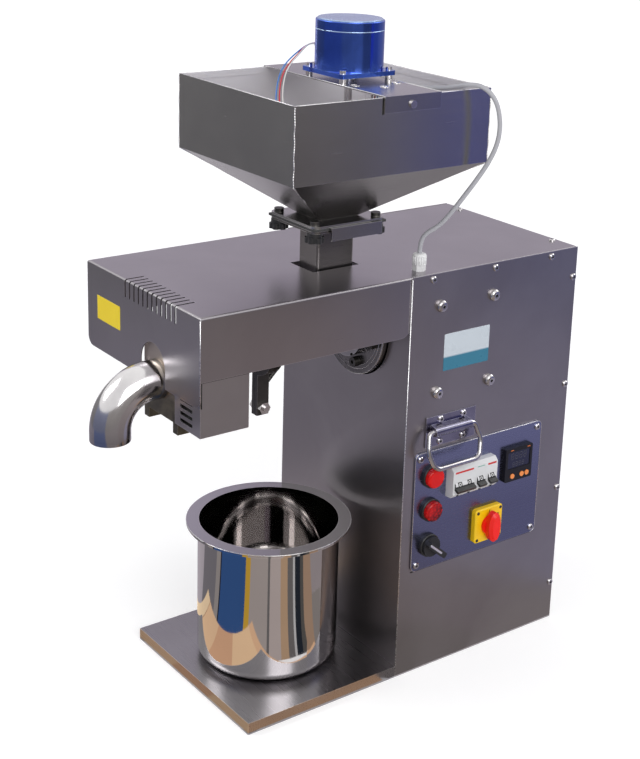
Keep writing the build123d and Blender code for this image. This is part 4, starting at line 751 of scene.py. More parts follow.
# The heater cover is painted lighter than the hood, a painted reflection of the near floor that it faces.
lighter_cover_steel = metal("heater cover steel", (0.42, 0.40, 0.41), (0.38, 0.36, 0.37), (0.8, 0.79, 0.78),
                    (0.3, 0.36), stretch=(12.0, 12.0, 500.0), depth=0.006)
panel_steel = metal("panel steel", (0.19, 0.20, 0.31), (0.18, 0.19, 0.30), (0.7, 0.7, 0.76), (0.25, 0.29),
                    stretch=(900.0, 16.0, 900.0), depth=0.0015, change=painted_top_light)
dress(cabinet_steel, "cabinet_shell", "back_cover", "base_floor", "gearbox_mounts")
dress(hood_steel, "top_cover")
dress(lighter_cover_steel, "vented_cover")
dress(base_steel, "base_tray")
dress(hopper_steel, "hopper")
dress(small_steel, "hopper_bridge", "gate_plate")
dress(chute_steel, "feed_chute")
dress(panel_steel, "panel_plate")
print("sheet steels:", len([m for m in bpy.data.materials if "steel" in m.name]))

# %% [markdown]
# ### Polished, turned and dark metal
#
# Screws and handles are bright, the bowl is a mirror and the spout is buffed with fine lines along the tube.
# Turned parts have rings from the lathe, so their grain is squeezed along their axis. The press head has been
# hot, which tints steel brown, and the plate behind the spout is a dark olive casting.

# %% Other steels and metals
bright_steel = metal("bright steel", (0.62, 0.60, 0.60), (0.48, 0.46, 0.47), (0.9, 0.9, 0.9), (0.12, 0.22),
                     cloud=30.0)
mirror_steel = metal("mirror steel", (0.66, 0.64, 0.63), (0.60, 0.58, 0.58), (0.92, 0.92, 0.92), (0.03, 0.07),
                     stretch=(60.0, 60.0, 900.0), depth=0.004, change=bowl_rim_reflection)
spout_steel = metal("buffed spout steel", (0.80, 0.78, 0.78), (0.62, 0.60, 0.61), (0.95, 0.95, 0.95),
                    (0.10, 0.20), stretch=(420.0, 14.0, 14.0), depth=0.012, cloud=16.0, change=painted_dark_mouth)
handle_steel = metal("handle bracket steel", (0.30, 0.29, 0.37), (0.24, 0.23, 0.30), (0.9, 0.9, 0.92),
                     (0.16, 0.24), stretch=(700.0, 10.0, 700.0), depth=0.004, cloud=30.0)
turned_steel = metal("turned steel", (0.42, 0.41, 0.42), (0.32, 0.31, 0.32), (0.8, 0.8, 0.8), (0.18, 0.3),
                     stretch=(300.0, 1200.0, 300.0), cloud=20.0)
dark_steel = metal("dark steel", (0.10, 0.095, 0.09), (0.06, 0.058, 0.055), (0.35, 0.34, 0.33), (0.35, 0.5),
                   cloud=25.0)
olive_iron = metal("olive iron", (0.20, 0.18, 0.125), (0.10, 0.092, 0.07), (0.42, 0.38, 0.28), (0.3, 0.45),
                   cloud=45.0, change=paler_above)
warm_steel = metal("heat tinted steel", (0.38, 0.30, 0.20), (0.22, 0.19, 0.20), (0.6, 0.52, 0.4), (0.25, 0.4),
                   cloud=22.0)
spun_aluminium = metal("spun aluminium", (0.44, 0.56, 0.80), (0.36, 0.47, 0.72), (0.5, 0.7, 0.95), (0.2, 0.3),
                       cloud=20.0)
flange_steel = metal("flange steel", (0.22, 0.21, 0.21), (0.16, 0.155, 0.155), (0.85, 0.84, 0.83),
                     (0.2, 0.32), stretch=(300.0, 1200.0, 300.0), cloud=40.0, scuff_and_sheen=1.0)
dress(bright_steel, "casing_screws", "gearbox_bolts", "handle_bail_right", "handle_bail_left",
      "clamp_bolt", "motor_standoffs", "stirrer")
dress(handle_steel, "handle_brackets")
dress(mirror_steel, "oil_bowl")
dress(spout_steel, "elbow_spout")
dress(turned_steel, "press_screw", "press_barrel", "barrel_nut", "feed_saddle", "screw_bearing",
      "motor_rotor")
dress(dark_steel, "barrel_clamp", "feed_bolts", "band_heater", "flange_bolts")
dress(flange_steel, "bearing_flange")
dress(warm_steel, "press_head")
dress(olive_iron, "head_plate")
dress(spun_aluminium, "stirrer_motor_cap")
print("all steels:", len([m for m in bpy.data.materials if "steel" in m.name]))

# %% [markdown]
# ### Plastics, paint and anodised metal
#
# The stirrer motor's can is aluminium with a deep blue anodised skin: still a metal, so it mirrors the room
# in blue. The lamps, the switch and the keys are clean moulded colours. One lamp is darker, because its lens
# is moulded in facets that show the dark inside. Voronoi cells are a quick way to such facets.

# %% Facets of the lower lens
between_lamps = 0.25
lower_lens_y, lower_lens_z = 0.04, 0.231


def unlit_lens(tree, shader, tone):
    """The lower lens shows its dark facets, most of all on its front lower side."""
    x, y, z = places_of(tree)
    cells = add_node(tree, "ShaderNodeTexVoronoi", None, scale=260.0)
    tree.links.new(object_place(tree), cells.inputs["Vector"])
    facet = ramp(tree, cells.outputs["Distance"], 0.1, 0.7, 0.25, 1.0)
    below = combine(tree, "LESS_THAN", z, between_lamps)
    slant = combine(tree, "SUBTRACT", combine(tree, "SUBTRACT", y, lower_lens_y),
                    combine(tree, "SUBTRACT", z, lower_lens_z))
    shade = combine(tree, "MULTIPLY", below, ramp(tree, slant, -0.010, 0.012, 0.45, 1.0))
    return blend_colours(tree, combine(tree, "MULTIPLY", shade, facet), tone, (0.05, 0.001, 0.003))


print("lower lens at z", lower_lens_z, "m")

# %% [markdown]
# Each plastic gets two close tones that mix in soft spots, and a roughness. The recipe adds fine pits and
# slightly paler edges, partly as handling leaves them and partly as a painted highlight.

# %% Plastics and paints
motor_blue = metal("blue anodised aluminium", (0.074, 0.155, 0.64), (0.050, 0.105, 0.44), (0.35, 0.55, 0.95),
                   (0.13, 0.2), stretch=(500.0, 500.0, 8.0), depth=0.01, cloud=14.0, width=0.0008)
drive_paint = plastic("drive paint", (0.10, 0.14, 0.17), (0.08, 0.11, 0.14), rough=0.45, size=600.0,
                      depth=0.2)
gear_iron = plastic("gearbox paint", (0.16, 0.17, 0.18), (0.12, 0.13, 0.14), rough=0.5, size=500.0, depth=0.3)
black_plastic = plastic("black plastic", (0.018, 0.018, 0.02), (0.012, 0.012, 0.013), rough=0.4,
                        edge=(0.06, 0.06, 0.06))
dark_plastic = plastic("dark case plastic", (0.008, 0.008, 0.012), (0.005, 0.005, 0.008), rough=0.3,
                       edge=(0.04, 0.04, 0.045), shine=0.35)
white_plastic = plastic("white case plastic", (0.66, 0.66, 0.67), (0.58, 0.58, 0.60), rough=0.42)
white_nylon = plastic("white nylon", (0.80, 0.80, 0.81), (0.72, 0.72, 0.73), rough=0.45)
red_plastic = plastic("red knob plastic", (0.90, 0.012, 0.006), (0.80, 0.010, 0.005), rough=0.28,
                      edge=(0.95, 0.10, 0.06), shine=0.35)
yellow_plastic = plastic("yellow plate plastic", (0.88, 0.57, 0.004), (0.82, 0.50, 0.004), rough=0.32,
                         edge=(0.95, 0.78, 0.05), shine=0.35)
orange_plastic = plastic("orange key plastic", (0.85, 0.27, 0.06), (0.76, 0.22, 0.05), rough=0.4,
                         edge=(0.9, 0.4, 0.15))
guide_plastic = plastic("guide strip plastic", (0.05, 0.05, 0.05), (0.035, 0.035, 0.035), rough=0.5)
cable_plastic = plastic("grey cable sheath", (0.42, 0.42, 0.45), (0.36, 0.36, 0.39), rough=0.5, size=900.0)
lamp_glass = plastic("red lamp lens", (0.72, 0.008, 0.005), (0.46, 0.004, 0.003), rough=0.14,
                     edge=(0.95, 0.08, 0.05), shine=0.35, change=unlit_lens)
dress(motor_blue, "stirrer_motor")
dress(drive_paint, "motor_body", "motor_fan_cover")
dress(gear_iron, "gearbox_housing")
dress(black_plastic, "feed_knobs", "toggle_main", "toggle_middle", "toggle_single", "terminal_block",
      "selector_knob", "lamp_bodies", "selector_body")
dress(dark_plastic, "controller_case")
dress(white_plastic, "breaker_cases")
dress(white_nylon, "cable_gland")
dress(red_plastic, "isolator_knob")
dress(yellow_plastic, "isolator_plate")
dress(orange_plastic, "key_set", "key_down", "key_up")
dress(guide_plastic, "gate_guides")
dress(lamp_glass, "lamp_lenses")
cable.data.materials.append(cable_plastic)
lead_paints = {
    "lead_blue": plastic("blue lead sheath", (0.06, 0.22, 0.62), (0.05, 0.18, 0.52), rough=0.4, size=900.0),
    "lead_red": plastic("red lead sheath", (0.6, 0.03, 0.05), (0.5, 0.02, 0.04), rough=0.4, size=900.0),
    "lead_white": plastic("white lead sheath", (0.75, 0.74, 0.72), (0.66, 0.65, 0.63), rough=0.4, size=900.0),
}
for name, paint in lead_paints.items():
    leads[name].data.materials.append(paint)
print("dressed", len([n for n in nodes.values() if n.data.materials]), "CAD parts")

# %% [markdown]
# ## Small trim
#
# The CAD solids carry the form. What makes the machine look used and real are the small things on it: sockets
# in the screws, stripes on the breakers, a display, plates and welds. Each is a little mesh of its own that
# rides on the body under it. Nearly all of them are rings of vertices that are joined one to the next, so the
# helpers make a ring, join rings and close their ends. All lengths in this chapter are millimetres.

# %% Helpers for pieces and rings
import bmesh


def piece_from(name, build, material, body="press"):
    """Runs a function that fills a bmesh, and makes the result a piece that rides on a body."""
    mesh = bpy.data.meshes.new(name)
    shape = bmesh.new()
    build(shape)
    bmesh.ops.recalc_face_normals(shape, faces=shape.faces)
    shape.to_mesh(mesh)
    shape.free()
    mesh.materials.append(material)
    piece = place_object(name, mesh)
    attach(piece, body)
    return piece


def box_of(name):
    """Lowest and highest corner of a CAD part."""
    return [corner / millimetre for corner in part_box(name)]


def directions_across(axis):
    """Two directions at right angles to an axis and to each other."""
    side = axis.orthogonal().normalized()
    return side, axis.cross(side)


def circle_points(centre, side, other, radius, count):
    """Points round a circle that lies in two directions."""
    turns = [2 * math.pi * step / count for step in range(count)]
    return [Vector(centre) + (side * math.cos(turn) + other * math.sin(turn)) * radius for turn in turns]


def add_ring(shape, points):
    """Vertices at points in millimetres."""
    return [shape.verts.new(Vector(point) * millimetre) for point in points]


def join_rings(shape, rings, smooth=False):
    """Four-sided faces between each ring and the next."""
    for low, high in zip(rings, rings[1:]):
        for here in range(len(low)):
            after = (here + 1) % len(low)
            shape.faces.new((low[here], low[after], high[after], high[here])).smooth = smooth


def close_ends(shape, rings):
    """One face over the first ring and one over the last."""
    shape.faces.new(list(reversed(rings[0])))
    shape.faces.new(rings[-1])


print("ring helpers ready")

# %% [markdown]
# ### A plate with round corners
#
# Nearly every label, window and stripe is a thin plate with round corners and a softened rim. The panel and
# its devices look along +X, so a second helper lays plates on such faces.

# %% Helpers for plates
panel_across, panel_upward = Vector((0, 1, 0)), Vector((0, 0, 1))
front_across, front_upward = Vector((1, 0, 0)), Vector((0, 0, 1))


def round_corners(half_u, half_v, corner, steps):
    """Pairs round a rectangle with round corners, whose corner centres are at the half sizes."""
    middles = ((half_u, half_v), (-half_u, half_v), (-half_u, -half_v), (half_u, -half_v))
    pairs = []
    for quarter, (u, v) in enumerate(middles):
        for step in range(steps + 1):
            turn = math.radians(90 * quarter + 90 / steps * step)
            pairs.append((u + corner * math.cos(turn), v + corner * math.sin(turn)))
    return pairs


def add_plate(shape, centre, across, upward, size, corner, thick, rim=0.0):
    """A plate with round corners. Centre is on its back and the directions are unit vectors."""
    outward = across.cross(upward)
    rings = []
    for inset, height in ((0.0, 0.0), (0.0, thick - rim), (rim, thick)):
        pairs = round_corners(size[0] / 2 - corner, size[1] / 2 - corner, max(corner - inset, 0.0), 4)
        base = Vector(centre) + outward * height
        rings.append(add_ring(shape, [base + across * u + upward * v for u, v in pairs]))
    join_rings(shape, rings)
    close_ends(shape, rings)


def add_panel_plate(shape, y, z, width, height, corner, thick, face):
    """A thin plate on a face that looks along +X."""
    add_plate(shape, (face, y, z), panel_across, panel_upward, (width, height), corner, thick, rim=0.05)


print("plate helpers ready")

# %% [markdown]
# ### Sockets in the screws
#
# Every casing screw has a hexagon socket. The head's place is read from the CAD part: its loose solids are
# found by walking from vertex to vertex, and the shortest side of each one's box is the screw's axis. The
# socket is a dark six-sided cup, a painted shadow of the recess, that stands a hair above the head with a
# fine bright rim.

# %% Find the screws
def loose_boxes(node):
    """Lowest and highest corner of each separate solid of a CAD part."""
    mesh = nodes[node].data
    spots = {}
    group_of = list(range(len(mesh.vertices)))

    def root(index):
        while group_of[index] != index:
            group_of[index] = group_of[group_of[index]]
            index = group_of[index]
        return index

    for vertex in mesh.vertices:
        key = tuple(round(c, 5) for c in vertex.co)
        first = spots.setdefault(key, vertex.index)
        group_of[root(vertex.index)] = root(first)
    for edge in mesh.edges:
        group_of[root(edge.vertices[0])] = root(edge.vertices[1])
    boxes = {}
    for vertex in mesh.vertices:
        low, high = boxes.setdefault(root(vertex.index), (vertex.co.copy(), vertex.co.copy()))
        for axis in range(3):
            low[axis] = min(low[axis], vertex.co[axis])
            high[axis] = max(high[axis], vertex.co[axis])
    return list(boxes.values())


print("casing screws:", len(loose_boxes("casing_screws")))

# %% [markdown]
# The socket itself is four small six-sided rings: up the outside of the rim, over it and down into the cup.
# The same function serves all the screws, because it asks only for a centre, an axis and a radius.

# %% Add sockets to the casing screws
def add_socket(shape, centre, axis, radius):
    """A shallow hexagon cup on a screw head, with its rim around it."""
    side, other = directions_across(axis)
    rings = []
    for share, height in ((1.22, 0.0), (1.16, 0.12), (1.0, 0.12), (0.86, 0.04)):
        rings.append(add_ring(shape, circle_points(centre + axis * height, side, other, radius * share, 6)))
    join_rings(shape, rings)
    shape.faces.new(rings[-1])


def outer_face(low, high, axis_number):
    """The middle of a box's outer face, and the way it looks: up, or out of the cabinet's side."""
    axis = Vector((0, 0, 1))
    centre = (low + high) / 2
    if axis_number == 0:
        axis = Vector((1 if centre.x > 0 else -1, 0, 0))
    centre[axis_number] = (high if sum(axis) > 0 else low)[axis_number]
    return centre / millimetre, axis


def sockets_on(name, node, radius, axis_number=None):
    """A socket on each screw head of a CAD part. The axis is given, or is the box's shortest side."""
    heads = []
    for low, high in loose_boxes(node):
        span = high - low
        shortest = min(range(3), key=lambda a: span[a])
        if axis_number is None:
            heads.append(outer_face(low, high, 0 if shortest == 0 else 2))
        else:
            heads.append(outer_face(low, high, axis_number))

    def build(shape):
        for centre, axis in heads:
            add_socket(shape, centre, axis, radius)

    piece_from(name, build, socket_shadow)
    print(name, "on", len(heads), "heads")


socket_shadow = metal("socket shadow", (0.05, 0.05, 0.05), (0.03, 0.03, 0.03), (0.5, 0.5, 0.5), (0.4, 0.5),
                      cloud=60.0)
sockets_on("casing_screw_sockets", "casing_screws", 1.7)

# %% [markdown]
# The eight gearbox bolts are long, so the shortest side of their boxes is no guide, but they all point out of
# the cabinet's sides. Their domes carry a wider socket.

# %% Sockets in the gearbox bolts
sockets_on("gearbox_bolt_sockets", "gearbox_bolts", 2.0, axis_number=0)

# %% [markdown]
# ### Breaker fronts
#
# Three breakers sit side by side. The outer ones carry a red stripe, the middle one a thin green line, and
# each pole has a dark terminal screw under its toggle. All are thin plates on the white cases.

# %% Stripes and screws on the breakers
breaker_front = box_of("breaker_cases")[1].x
module_start, module_width = 70.0, 19.0
stripe_z, line_z, terminal_z = 278.3, 278.6, 246.6
terminal_face = breaker_front - 1.6
red_print = plastic("red print", (0.62, 0.02, 0.02), (0.52, 0.015, 0.015), rough=0.45)
green_print = plastic("green print", (0.18, 0.42, 0.34), (0.15, 0.36, 0.3), rough=0.45)
black_print = plastic("black print", (0.02, 0.02, 0.022), (0.014, 0.014, 0.016), rough=0.4)


def module_middle(number):
    """Y of the middle of a breaker module, counted from the front."""
    return module_start + (number + 0.5) * module_width


def build_red_stripes(shape):
    main_middle = (module_middle(0) + module_middle(1)) / 2
    for y, width in ((main_middle, 31.0), (module_middle(3), 14.5)):
        add_panel_plate(shape, y, stripe_z, width, 2.5, 0.3, 0.15, breaker_front)


def build_green_line(shape):
    add_panel_plate(shape, module_middle(2), line_z, 13.0, 1.1, 0.3, 0.15, breaker_front)


def build_terminal_screws(shape):
    for number in range(4):
        add_panel_plate(shape, module_middle(number), terminal_z, 4.2, 4.2, 2.05, 0.35, terminal_face)


piece_from("breaker_red_stripes", build_red_stripes, red_print)
piece_from("breaker_green_line", build_green_line, green_print)
piece_from("breaker_terminal_screws", build_terminal_screws, black_print)
print("breaker trim on x =", round(breaker_front, 1), "mm")

# %% [markdown]
# The toggles carry small pale marks, a ring for off and a bar for on, and their round hubs are white beside
# the black posts. Marks and skins ride on the toggles and tip with them, so they are thinner than the gap to
# the case.

# %% Helpers for the toggles' hubs
hub_x, hub_z, hub_radius = 146.0, 259.5, 7.0
skin_lift = 0.12


def on_hub(y, turn, lift=0.0):
    """A point over the hub at an angle above straight ahead."""
    reach = hub_radius + lift
    return Vector((hub_x + reach * math.cos(turn), y, hub_z + reach * math.sin(turn)))


def add_hub_dot(shape, y, angle, width, height):
    """A tiny plate that lies on the hub."""
    turn = math.radians(angle)
    upward = Vector((-math.sin(turn), 0, math.cos(turn)))
    add_plate(shape, on_hub(y, turn), panel_across, upward, (width, height), 0.3, 0.1, rim=0.03)


def add_hub_patch(shape, low_y, high_y, first, last):
    """A thin curved skin on the hub between two angles."""
    rows = []
    for step in range(9):
        turn = math.radians(first + (last - first) * step / 8)
        corners = ((low_y, 0.0), (low_y, skin_lift), (high_y, skin_lift), (high_y, 0.0))
        rows.append(add_ring(shape, [on_hub(y, turn, lift) for y, lift in corners]))
    join_rings(shape, rows)
    close_ends(shape, rows)


print("hub radius", hub_radius, "mm")

# %% [markdown]
# One function lays the skins beside the posts, another the marks. Each makes one piece per toggle, because a
# piece rides on one body only.

# %% Marks and skins on the toggles
pale_print = plastic("pale print", (0.70, 0.70, 0.70), (0.62, 0.62, 0.62), rough=0.5)
post_half, side_gap = 3.4, 0.1
ring_size, ring_angle = 1.7, 20.0
toggles = {
    "main_toggle": ("toggle_main", (module_middle(0) + 1.5, module_middle(1) - 1.5)),
    "middle_toggle": ("toggle_middle", (module_middle(2),)),
    "single_toggle": ("toggle_single", (module_middle(3),)),
}


def skin_toggle(name, node, middles):
    """White skin beside the black posts of a toggle, as its hub is moulded in two colours."""
    low, high = box_of(node)
    borders = [low.y + side_gap]
    for middle_y in middles:
        borders += [middle_y - post_half, middle_y + post_half]
    borders.append(high.y - side_gap)

    def build(shape):
        for low_y, high_y in zip(borders[::2], borders[1::2]):
            add_hub_patch(shape, low_y, high_y, 3.0, 80.0)

    piece_from(name + "_skin", build, white_plastic, body=name)


def mark_toggle(name, middles):
    """A ring above the lever and a bar below it."""
    def build(shape):
        for middle_y in middles:
            for turn in (math.radians(36 * number) for number in range(10)):
                rise = math.degrees(ring_size * math.sin(turn) / hub_radius)
                add_hub_dot(shape, middle_y + ring_size * math.cos(turn), ring_angle + rise, 1.1, 1.1)
            for angle in (-56.0, -64.0, -72.0):
                add_hub_dot(shape, middle_y, angle, 1.0, 1.1)

    piece_from(name + "_marks", build, pale_print, body=name)


for name, (node, middles) in toggles.items():
    mark_toggle(name, middles)
    skin_toggle(name, node, middles)
print("marked toggles:", len(toggles))

# %% [markdown]
# ### The temperature controller
#
# Its dark window shows two rows of unlit figures. Each figure is seven slim bars, the same for every digit,
# so one loop draws them all. Unlit bars are only a little paler than the glass.

# %% Controller window and figures
controller_front = 143.0
window_floor = controller_front - 1.2
bars_face = window_floor + 0.25
figures_per_row = 4
# Each row of figures: Y of the first, step in Y, Z, width, height and the thickness of a bar
figure_rows = ((181.5, 7.4, 272.5, 4.4, 8.0, 0.8), (184.0, 5.6, 261.1, 3.2, 5.6, 0.6))
window_y, window_z, window_width, window_height = 192.5, 267.5, 39.0, 23.2
indicator_z, indicators_y = 282.3, (179.5, 209.5)
window_glass, glass_tree, glass_shader = start_material("display glass")
glass_mottle = use_group(glass_tree, moulded, size=90.0).outputs["Mottle"]
glass_tone = blend_colours(glass_tree, glass_mottle, (0.008, 0.010, 0.03), (0.012, 0.014, 0.045))
glass_tree.links.new(glass_tone, glass_shader.inputs["Base Color"])
wander(glass_tree, glass_shader, glass_mottle, 0.04, 0.12)
unlit_bar = plastic("unlit display bars", (0.05, 0.05, 0.07), (0.035, 0.035, 0.05), rough=0.3)
indicator_orange = plastic("orange indicator", (0.65, 0.16, 0.03), (0.55, 0.12, 0.02), rough=0.4)


def build_window(shape):
    add_panel_plate(shape, window_y, window_z, window_width, window_height, 0.8, 0.25, window_floor)


def add_figure(shape, y, z, width, height, bar):
    """Seven bars of one figure round its middle."""
    for level in (-1, 0, 1):
        add_panel_plate(shape, y, z + level * height / 2, width - bar, bar, bar * 0.3, 0.06, bars_face)
    for side in (-1, 1):
        for level in (-1, 1):
            add_panel_plate(shape, y + side * width / 2, z + level * height / 4, bar, height / 2 - bar,
                            bar * 0.3, 0.06, bars_face)


def build_figures(shape):
    for number in range(figures_per_row):
        for first_y, step, *figure in figure_rows:
            add_figure(shape, first_y + number * step, *figure)


def build_indicators(shape):
    for y in indicators_y:
        add_panel_plate(shape, y, indicator_z, 5.0, 1.2, 0.4, 0.12, controller_front)


piece_from("controller_window", build_window, window_glass)
piece_from("controller_figures", build_figures, unlit_bar)
piece_from("controller_indicators", build_indicators, indicator_orange)
print("controller figures:", len(figure_rows) * figures_per_row)

# %% [markdown]
# ### The selector's pointer and the main switch
#
# The selector's lever carries a pale bar from its middle to its tip. It rides on the selector's own body, so
# it turns with the knob. The yellow plate has four dark corner screws and two marks for off and on.

# %% Pointer, corner screws and marks
selector_face, selector_y, selector_z = box_of("selector_knob")[1].x, 44.0, 181.0
pointer_shift, pointer_size = 0.4, (25.5, 2.8)
pointer_angle = math.radians(-40.0)
pointer_across = Vector((0.0, math.cos(pointer_angle), math.sin(pointer_angle)))
pointer_upward = Vector((0.0, -math.sin(pointer_angle), math.cos(pointer_angle)))
silver_print = metal("silver pointer", (0.95, 0.95, 0.96), (0.86, 0.86, 0.87), (0.9, 0.9, 0.9), (0.25, 0.35),
                     cloud=80.0)
isolator_front, switch_y, switch_z = 145.0, 142.5, 186.6
screw_reach, screw_size = 19.6, (4.6, 4.6)


def build_pointer(shape):
    centre = Vector((selector_face, selector_y, selector_z)) + pointer_across * pointer_shift
    add_plate(shape, centre, pointer_across, pointer_upward, pointer_size, 1.2, 0.3, rim=0.1)


def build_corner_screws(shape):
    for side_y in (-1, 1):
        for side_z in (-1, 1):
            centre = (isolator_front, switch_y + side_y * screw_reach, switch_z + side_z * screw_reach)
            add_plate(shape, centre, panel_across, panel_upward, screw_size, 2.25, 0.4, rim=0.2)


def build_switch_marks(shape):
    """A bar above the knob and a small ring of dots at its right."""
    add_panel_plate(shape, switch_y, switch_z + 18.6, 1.0, 4.4, 0.3, 0.12, isolator_front)
    for turn in (math.radians(30 * number) for number in range(12)):
        y, z = switch_y + 15.0 + 1.5 * math.cos(turn), switch_z + 10.5 + 2.0 * math.sin(turn)
        add_panel_plate(shape, y, z, 1.0, 1.0, 0.3, 0.12, isolator_front)


piece_from("selector_pointer", build_pointer, silver_print, body="selector")
piece_from("isolator_screws", build_corner_screws, black_print)
piece_from("isolator_marks", build_switch_marks, black_print)
print("switch trim on x =", isolator_front, "mm")

# %% [markdown]
# ### Two plain plates
#
# A yellow plate sits on the hood's front and a larger one on the cabinet's side. They are left blank on
# purpose: this part carries no words. The side plate keeps its two tones, pale above and teal below, with a
# soft border between them that comes from the height in object coordinates.

# %% Blank plates
hood_front = box_of("top_cover")[0].y
cabinet_side = 135.0
front_centre, front_size = (-79.2, hood_front, 495.0), (57.5, 30.0)
side_y, side_z, side_width, side_height = 93.8, 441.5, 75.6, 49.0
border_low, border_high = 0.4335, 0.4365
yellow_sticker = plastic("yellow sticker", (0.86, 0.66, 0.008), (0.82, 0.60, 0.008), rough=0.35, depth=0.02)
side_sticker, side_tree, side_shader = start_material("side plate foil")
side_border = ramp(side_tree, places_of(side_tree)[2], border_low, border_high, 0.0, 1.0)
side_border.node.interpolation_type = "SMOOTHSTEP"
side_tone = blend_colours(side_tree, side_border, (0.03, 0.17, 0.26), (0.50, 0.55, 0.60))
side_tree.links.new(side_tone, side_shader.inputs["Base Color"])
side_mottle = use_group(side_tree, moulded, size=300.0).outputs["Mottle"]
wander(side_tree, side_shader, side_mottle, 0.22, 0.36)


def build_front_plate(shape):
    add_plate(shape, front_centre, front_across, front_upward, front_size, 0.8, 0.25, rim=0.1)


def build_side_plate(shape):
    add_panel_plate(shape, side_y, side_z, side_width, side_height, 1.5, 0.3, cabinet_side)


piece_from("front_plate", build_front_plate, yellow_sticker)
piece_from("side_plate", build_side_plate, side_sticker)
print("blank plates on y =", round(hood_front, 1), "and x =", cabinet_side, "mm")

# %% [markdown]
# ### Painted shade behind the vents
#
# The slots in the front cover look black. A dark plate behind them gives that as painted shade, in place of
# the shade inside the cover. It is one soft-edged plate, set a few millimetres behind the sheet, so each slot
# keeps its own depth.

# %% Painted shade behind the cover's slots
slot_shade_paint = plastic("painted slot shade", (0.02, 0.019, 0.018), (0.012, 0.012, 0.011), rough=0.8, size=900.0,
                      depth=0.4)
slot_shade_centre, slot_shade_size = (102.0, -290.4, 428.0), (40.0, 38.0)


def build_slot_shade(shape):
    add_plate(shape, slot_shade_centre, front_across, front_upward, slot_shade_size, 2.0, 1.0, rim=0.3)


piece_from("cover_liner", build_slot_shade, slot_shade_paint)
print("painted shade behind the cover's slots")

# %% [markdown]
# ### The hopper's welds
#
# The hopper is folded from four sheets and welded along its corners. A weld is a row of overlapping drops, so
# the bead is a tube whose radius ripples along its length and which drifts a little from side to side.

# %% Hopper welds
weld_radius, weld_pitch, rings_per_drop = 0.7, 3.0, 4
weld_top, shoulder_over, shoulder_under, weld_foot = 775.5, 686.5, 686.0, 613.5
weld_foot_half = (24.2, 28.6)
rim_inset = 0.3


def add_weld(shape, start, end):
    """A rippling bead between two points."""
    start, end = Vector(start), Vector(end)
    side, other = directions_across((end - start).normalized())
    count = max(8, int((end - start).length / weld_pitch) * rings_per_drop)
    rings = []
    for number in range(count + 1):
        share = number / count
        swell = 1.0 + 0.18 * math.sin(number / rings_per_drop * 2 * math.pi) + 0.10 * math.sin(share * 37.0)
        drift = side * (0.25 * math.sin(share * 23.0)) + other * (0.2 * math.sin(share * 17.0 + 1.0))
        centre = start + (end - start) * share + drift
        rings.append(add_ring(shape, circle_points(centre, side, other, weld_radius * swell, 8)))
    join_rings(shape, rings)
    close_ends(shape, rings)


def build_welds(shape):
    for side_x in (-1, 1):
        for side_y in (-1, 1):
            rim = (hopper_middle[0] + side_x * (hopper_half[0] - rim_inset),
                   hopper_middle[1] + side_y * (hopper_half[1] - rim_inset))
            foot = (hopper_middle[0] + side_x * weld_foot_half[0], hopper_foot_y + side_y * weld_foot_half[1])
            add_weld(shape, (*rim, weld_top), (*rim, shoulder_over))
            add_weld(shape, (*rim, shoulder_under), (*foot, weld_foot))


weld_steel = metal("weld bead", (0.70, 0.68, 0.67), (0.5, 0.48, 0.47), (0.95, 0.94, 0.93), (0.2, 0.35),
                   cloud=120.0)
welds = piece_from("hopper_welds", build_welds, weld_steel)
print("weld faces:", len(welds.data.polygons))

# %% [markdown]
# ### The elbow spout
#
# The spout is the brightest piece on the machine, a mirror-polished tube bent through a right angle. A
# mirror shows every flat of a mesh, so this piece is built again with many rings along the bend, has smooth
# shading and a rolled lip, and replaces the CAD part, which keeps its place in the simulation. Its sizes are
# the CAD's.

# %% Build the spout
spout_low, spout_high = box_of("elbow_spout")
spout_radius = (spout_high.x - spout_low.x) / 2
spout_wall, spout_bend = 2.0, 51.0
spout_x, spout_axis = (spout_low.x + spout_high.x) / 2, spout_high.z - spout_radius
spout_back, bend_start = spout_high.y, spout_low.y + spout_radius + spout_bend
bend_steps, spout_sides = 48, 72


def spout_stations():
    """Points along the tube's axis with the direction towards the outside of the bend."""
    stations = [(Vector((spout_x, spout_back, spout_axis)), Vector((0, 0, 1))),
                (Vector((spout_x, bend_start + 2.0, spout_axis)), Vector((0, 0, 1)))]
    bend_centre = Vector((spout_x, bend_start, spout_axis - spout_bend))
    for step in range(bend_steps + 1):
        angle = math.radians(90 * step / bend_steps)
        outward = Vector((0, -math.sin(angle), math.cos(angle)))
        stations.append((bend_centre + outward * spout_bend, outward))
    stations.append((Vector((spout_x, bend_start - spout_bend, spout_low.z)), Vector((0, -1, 0))))
    return stations


def build_spout(shape):
    """Outside from the root to the lip, over the lip, and back along the inside."""
    *stations, (mouth, mouth_out) = spout_stations()
    inner_radius = spout_radius - spout_wall
    lip = ((0.7, spout_radius), (0.2, spout_radius - 0.2), (0.0, spout_radius - 0.7),
           (0.0, inner_radius + 0.6), (0.5, inner_radius))
    rows = [(centre, outward, spout_radius) for centre, outward in stations]
    rows += [(mouth + Vector((0, 0, lift)), mouth_out, radius) for lift, radius in lip]
    rows += [(centre, outward, inner_radius) for centre, outward in reversed(stations)]
    rings = [add_ring(shape, circle_points(centre, outward, Vector((1, 0, 0)), radius, spout_sides))
             for centre, outward, radius in rows]
    join_rings(shape, rings, smooth=True)
    join_rings(shape, [rings[-1], rings[0]])


spout = piece_from("spout_tube", build_spout, spout_steel)
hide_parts("elbow_spout")
print("spout radius", round(spout_radius, 1), "mm, axis at z", round(spout_axis, 1), "mm")

# %% [markdown]
# ### Painted highlights on folds and the panel's rim, and dark joints
#
# A sheet's cut edge or tight fold catches the light as a thin bright line. The strongest of them get a slim
# rounded bead of pale metal of their own, a painted highlight: the upright seam of the cabinet, the hood's
# corner and the rim of the panel. Where two sheets overlap there is the opposite, a dark joint.

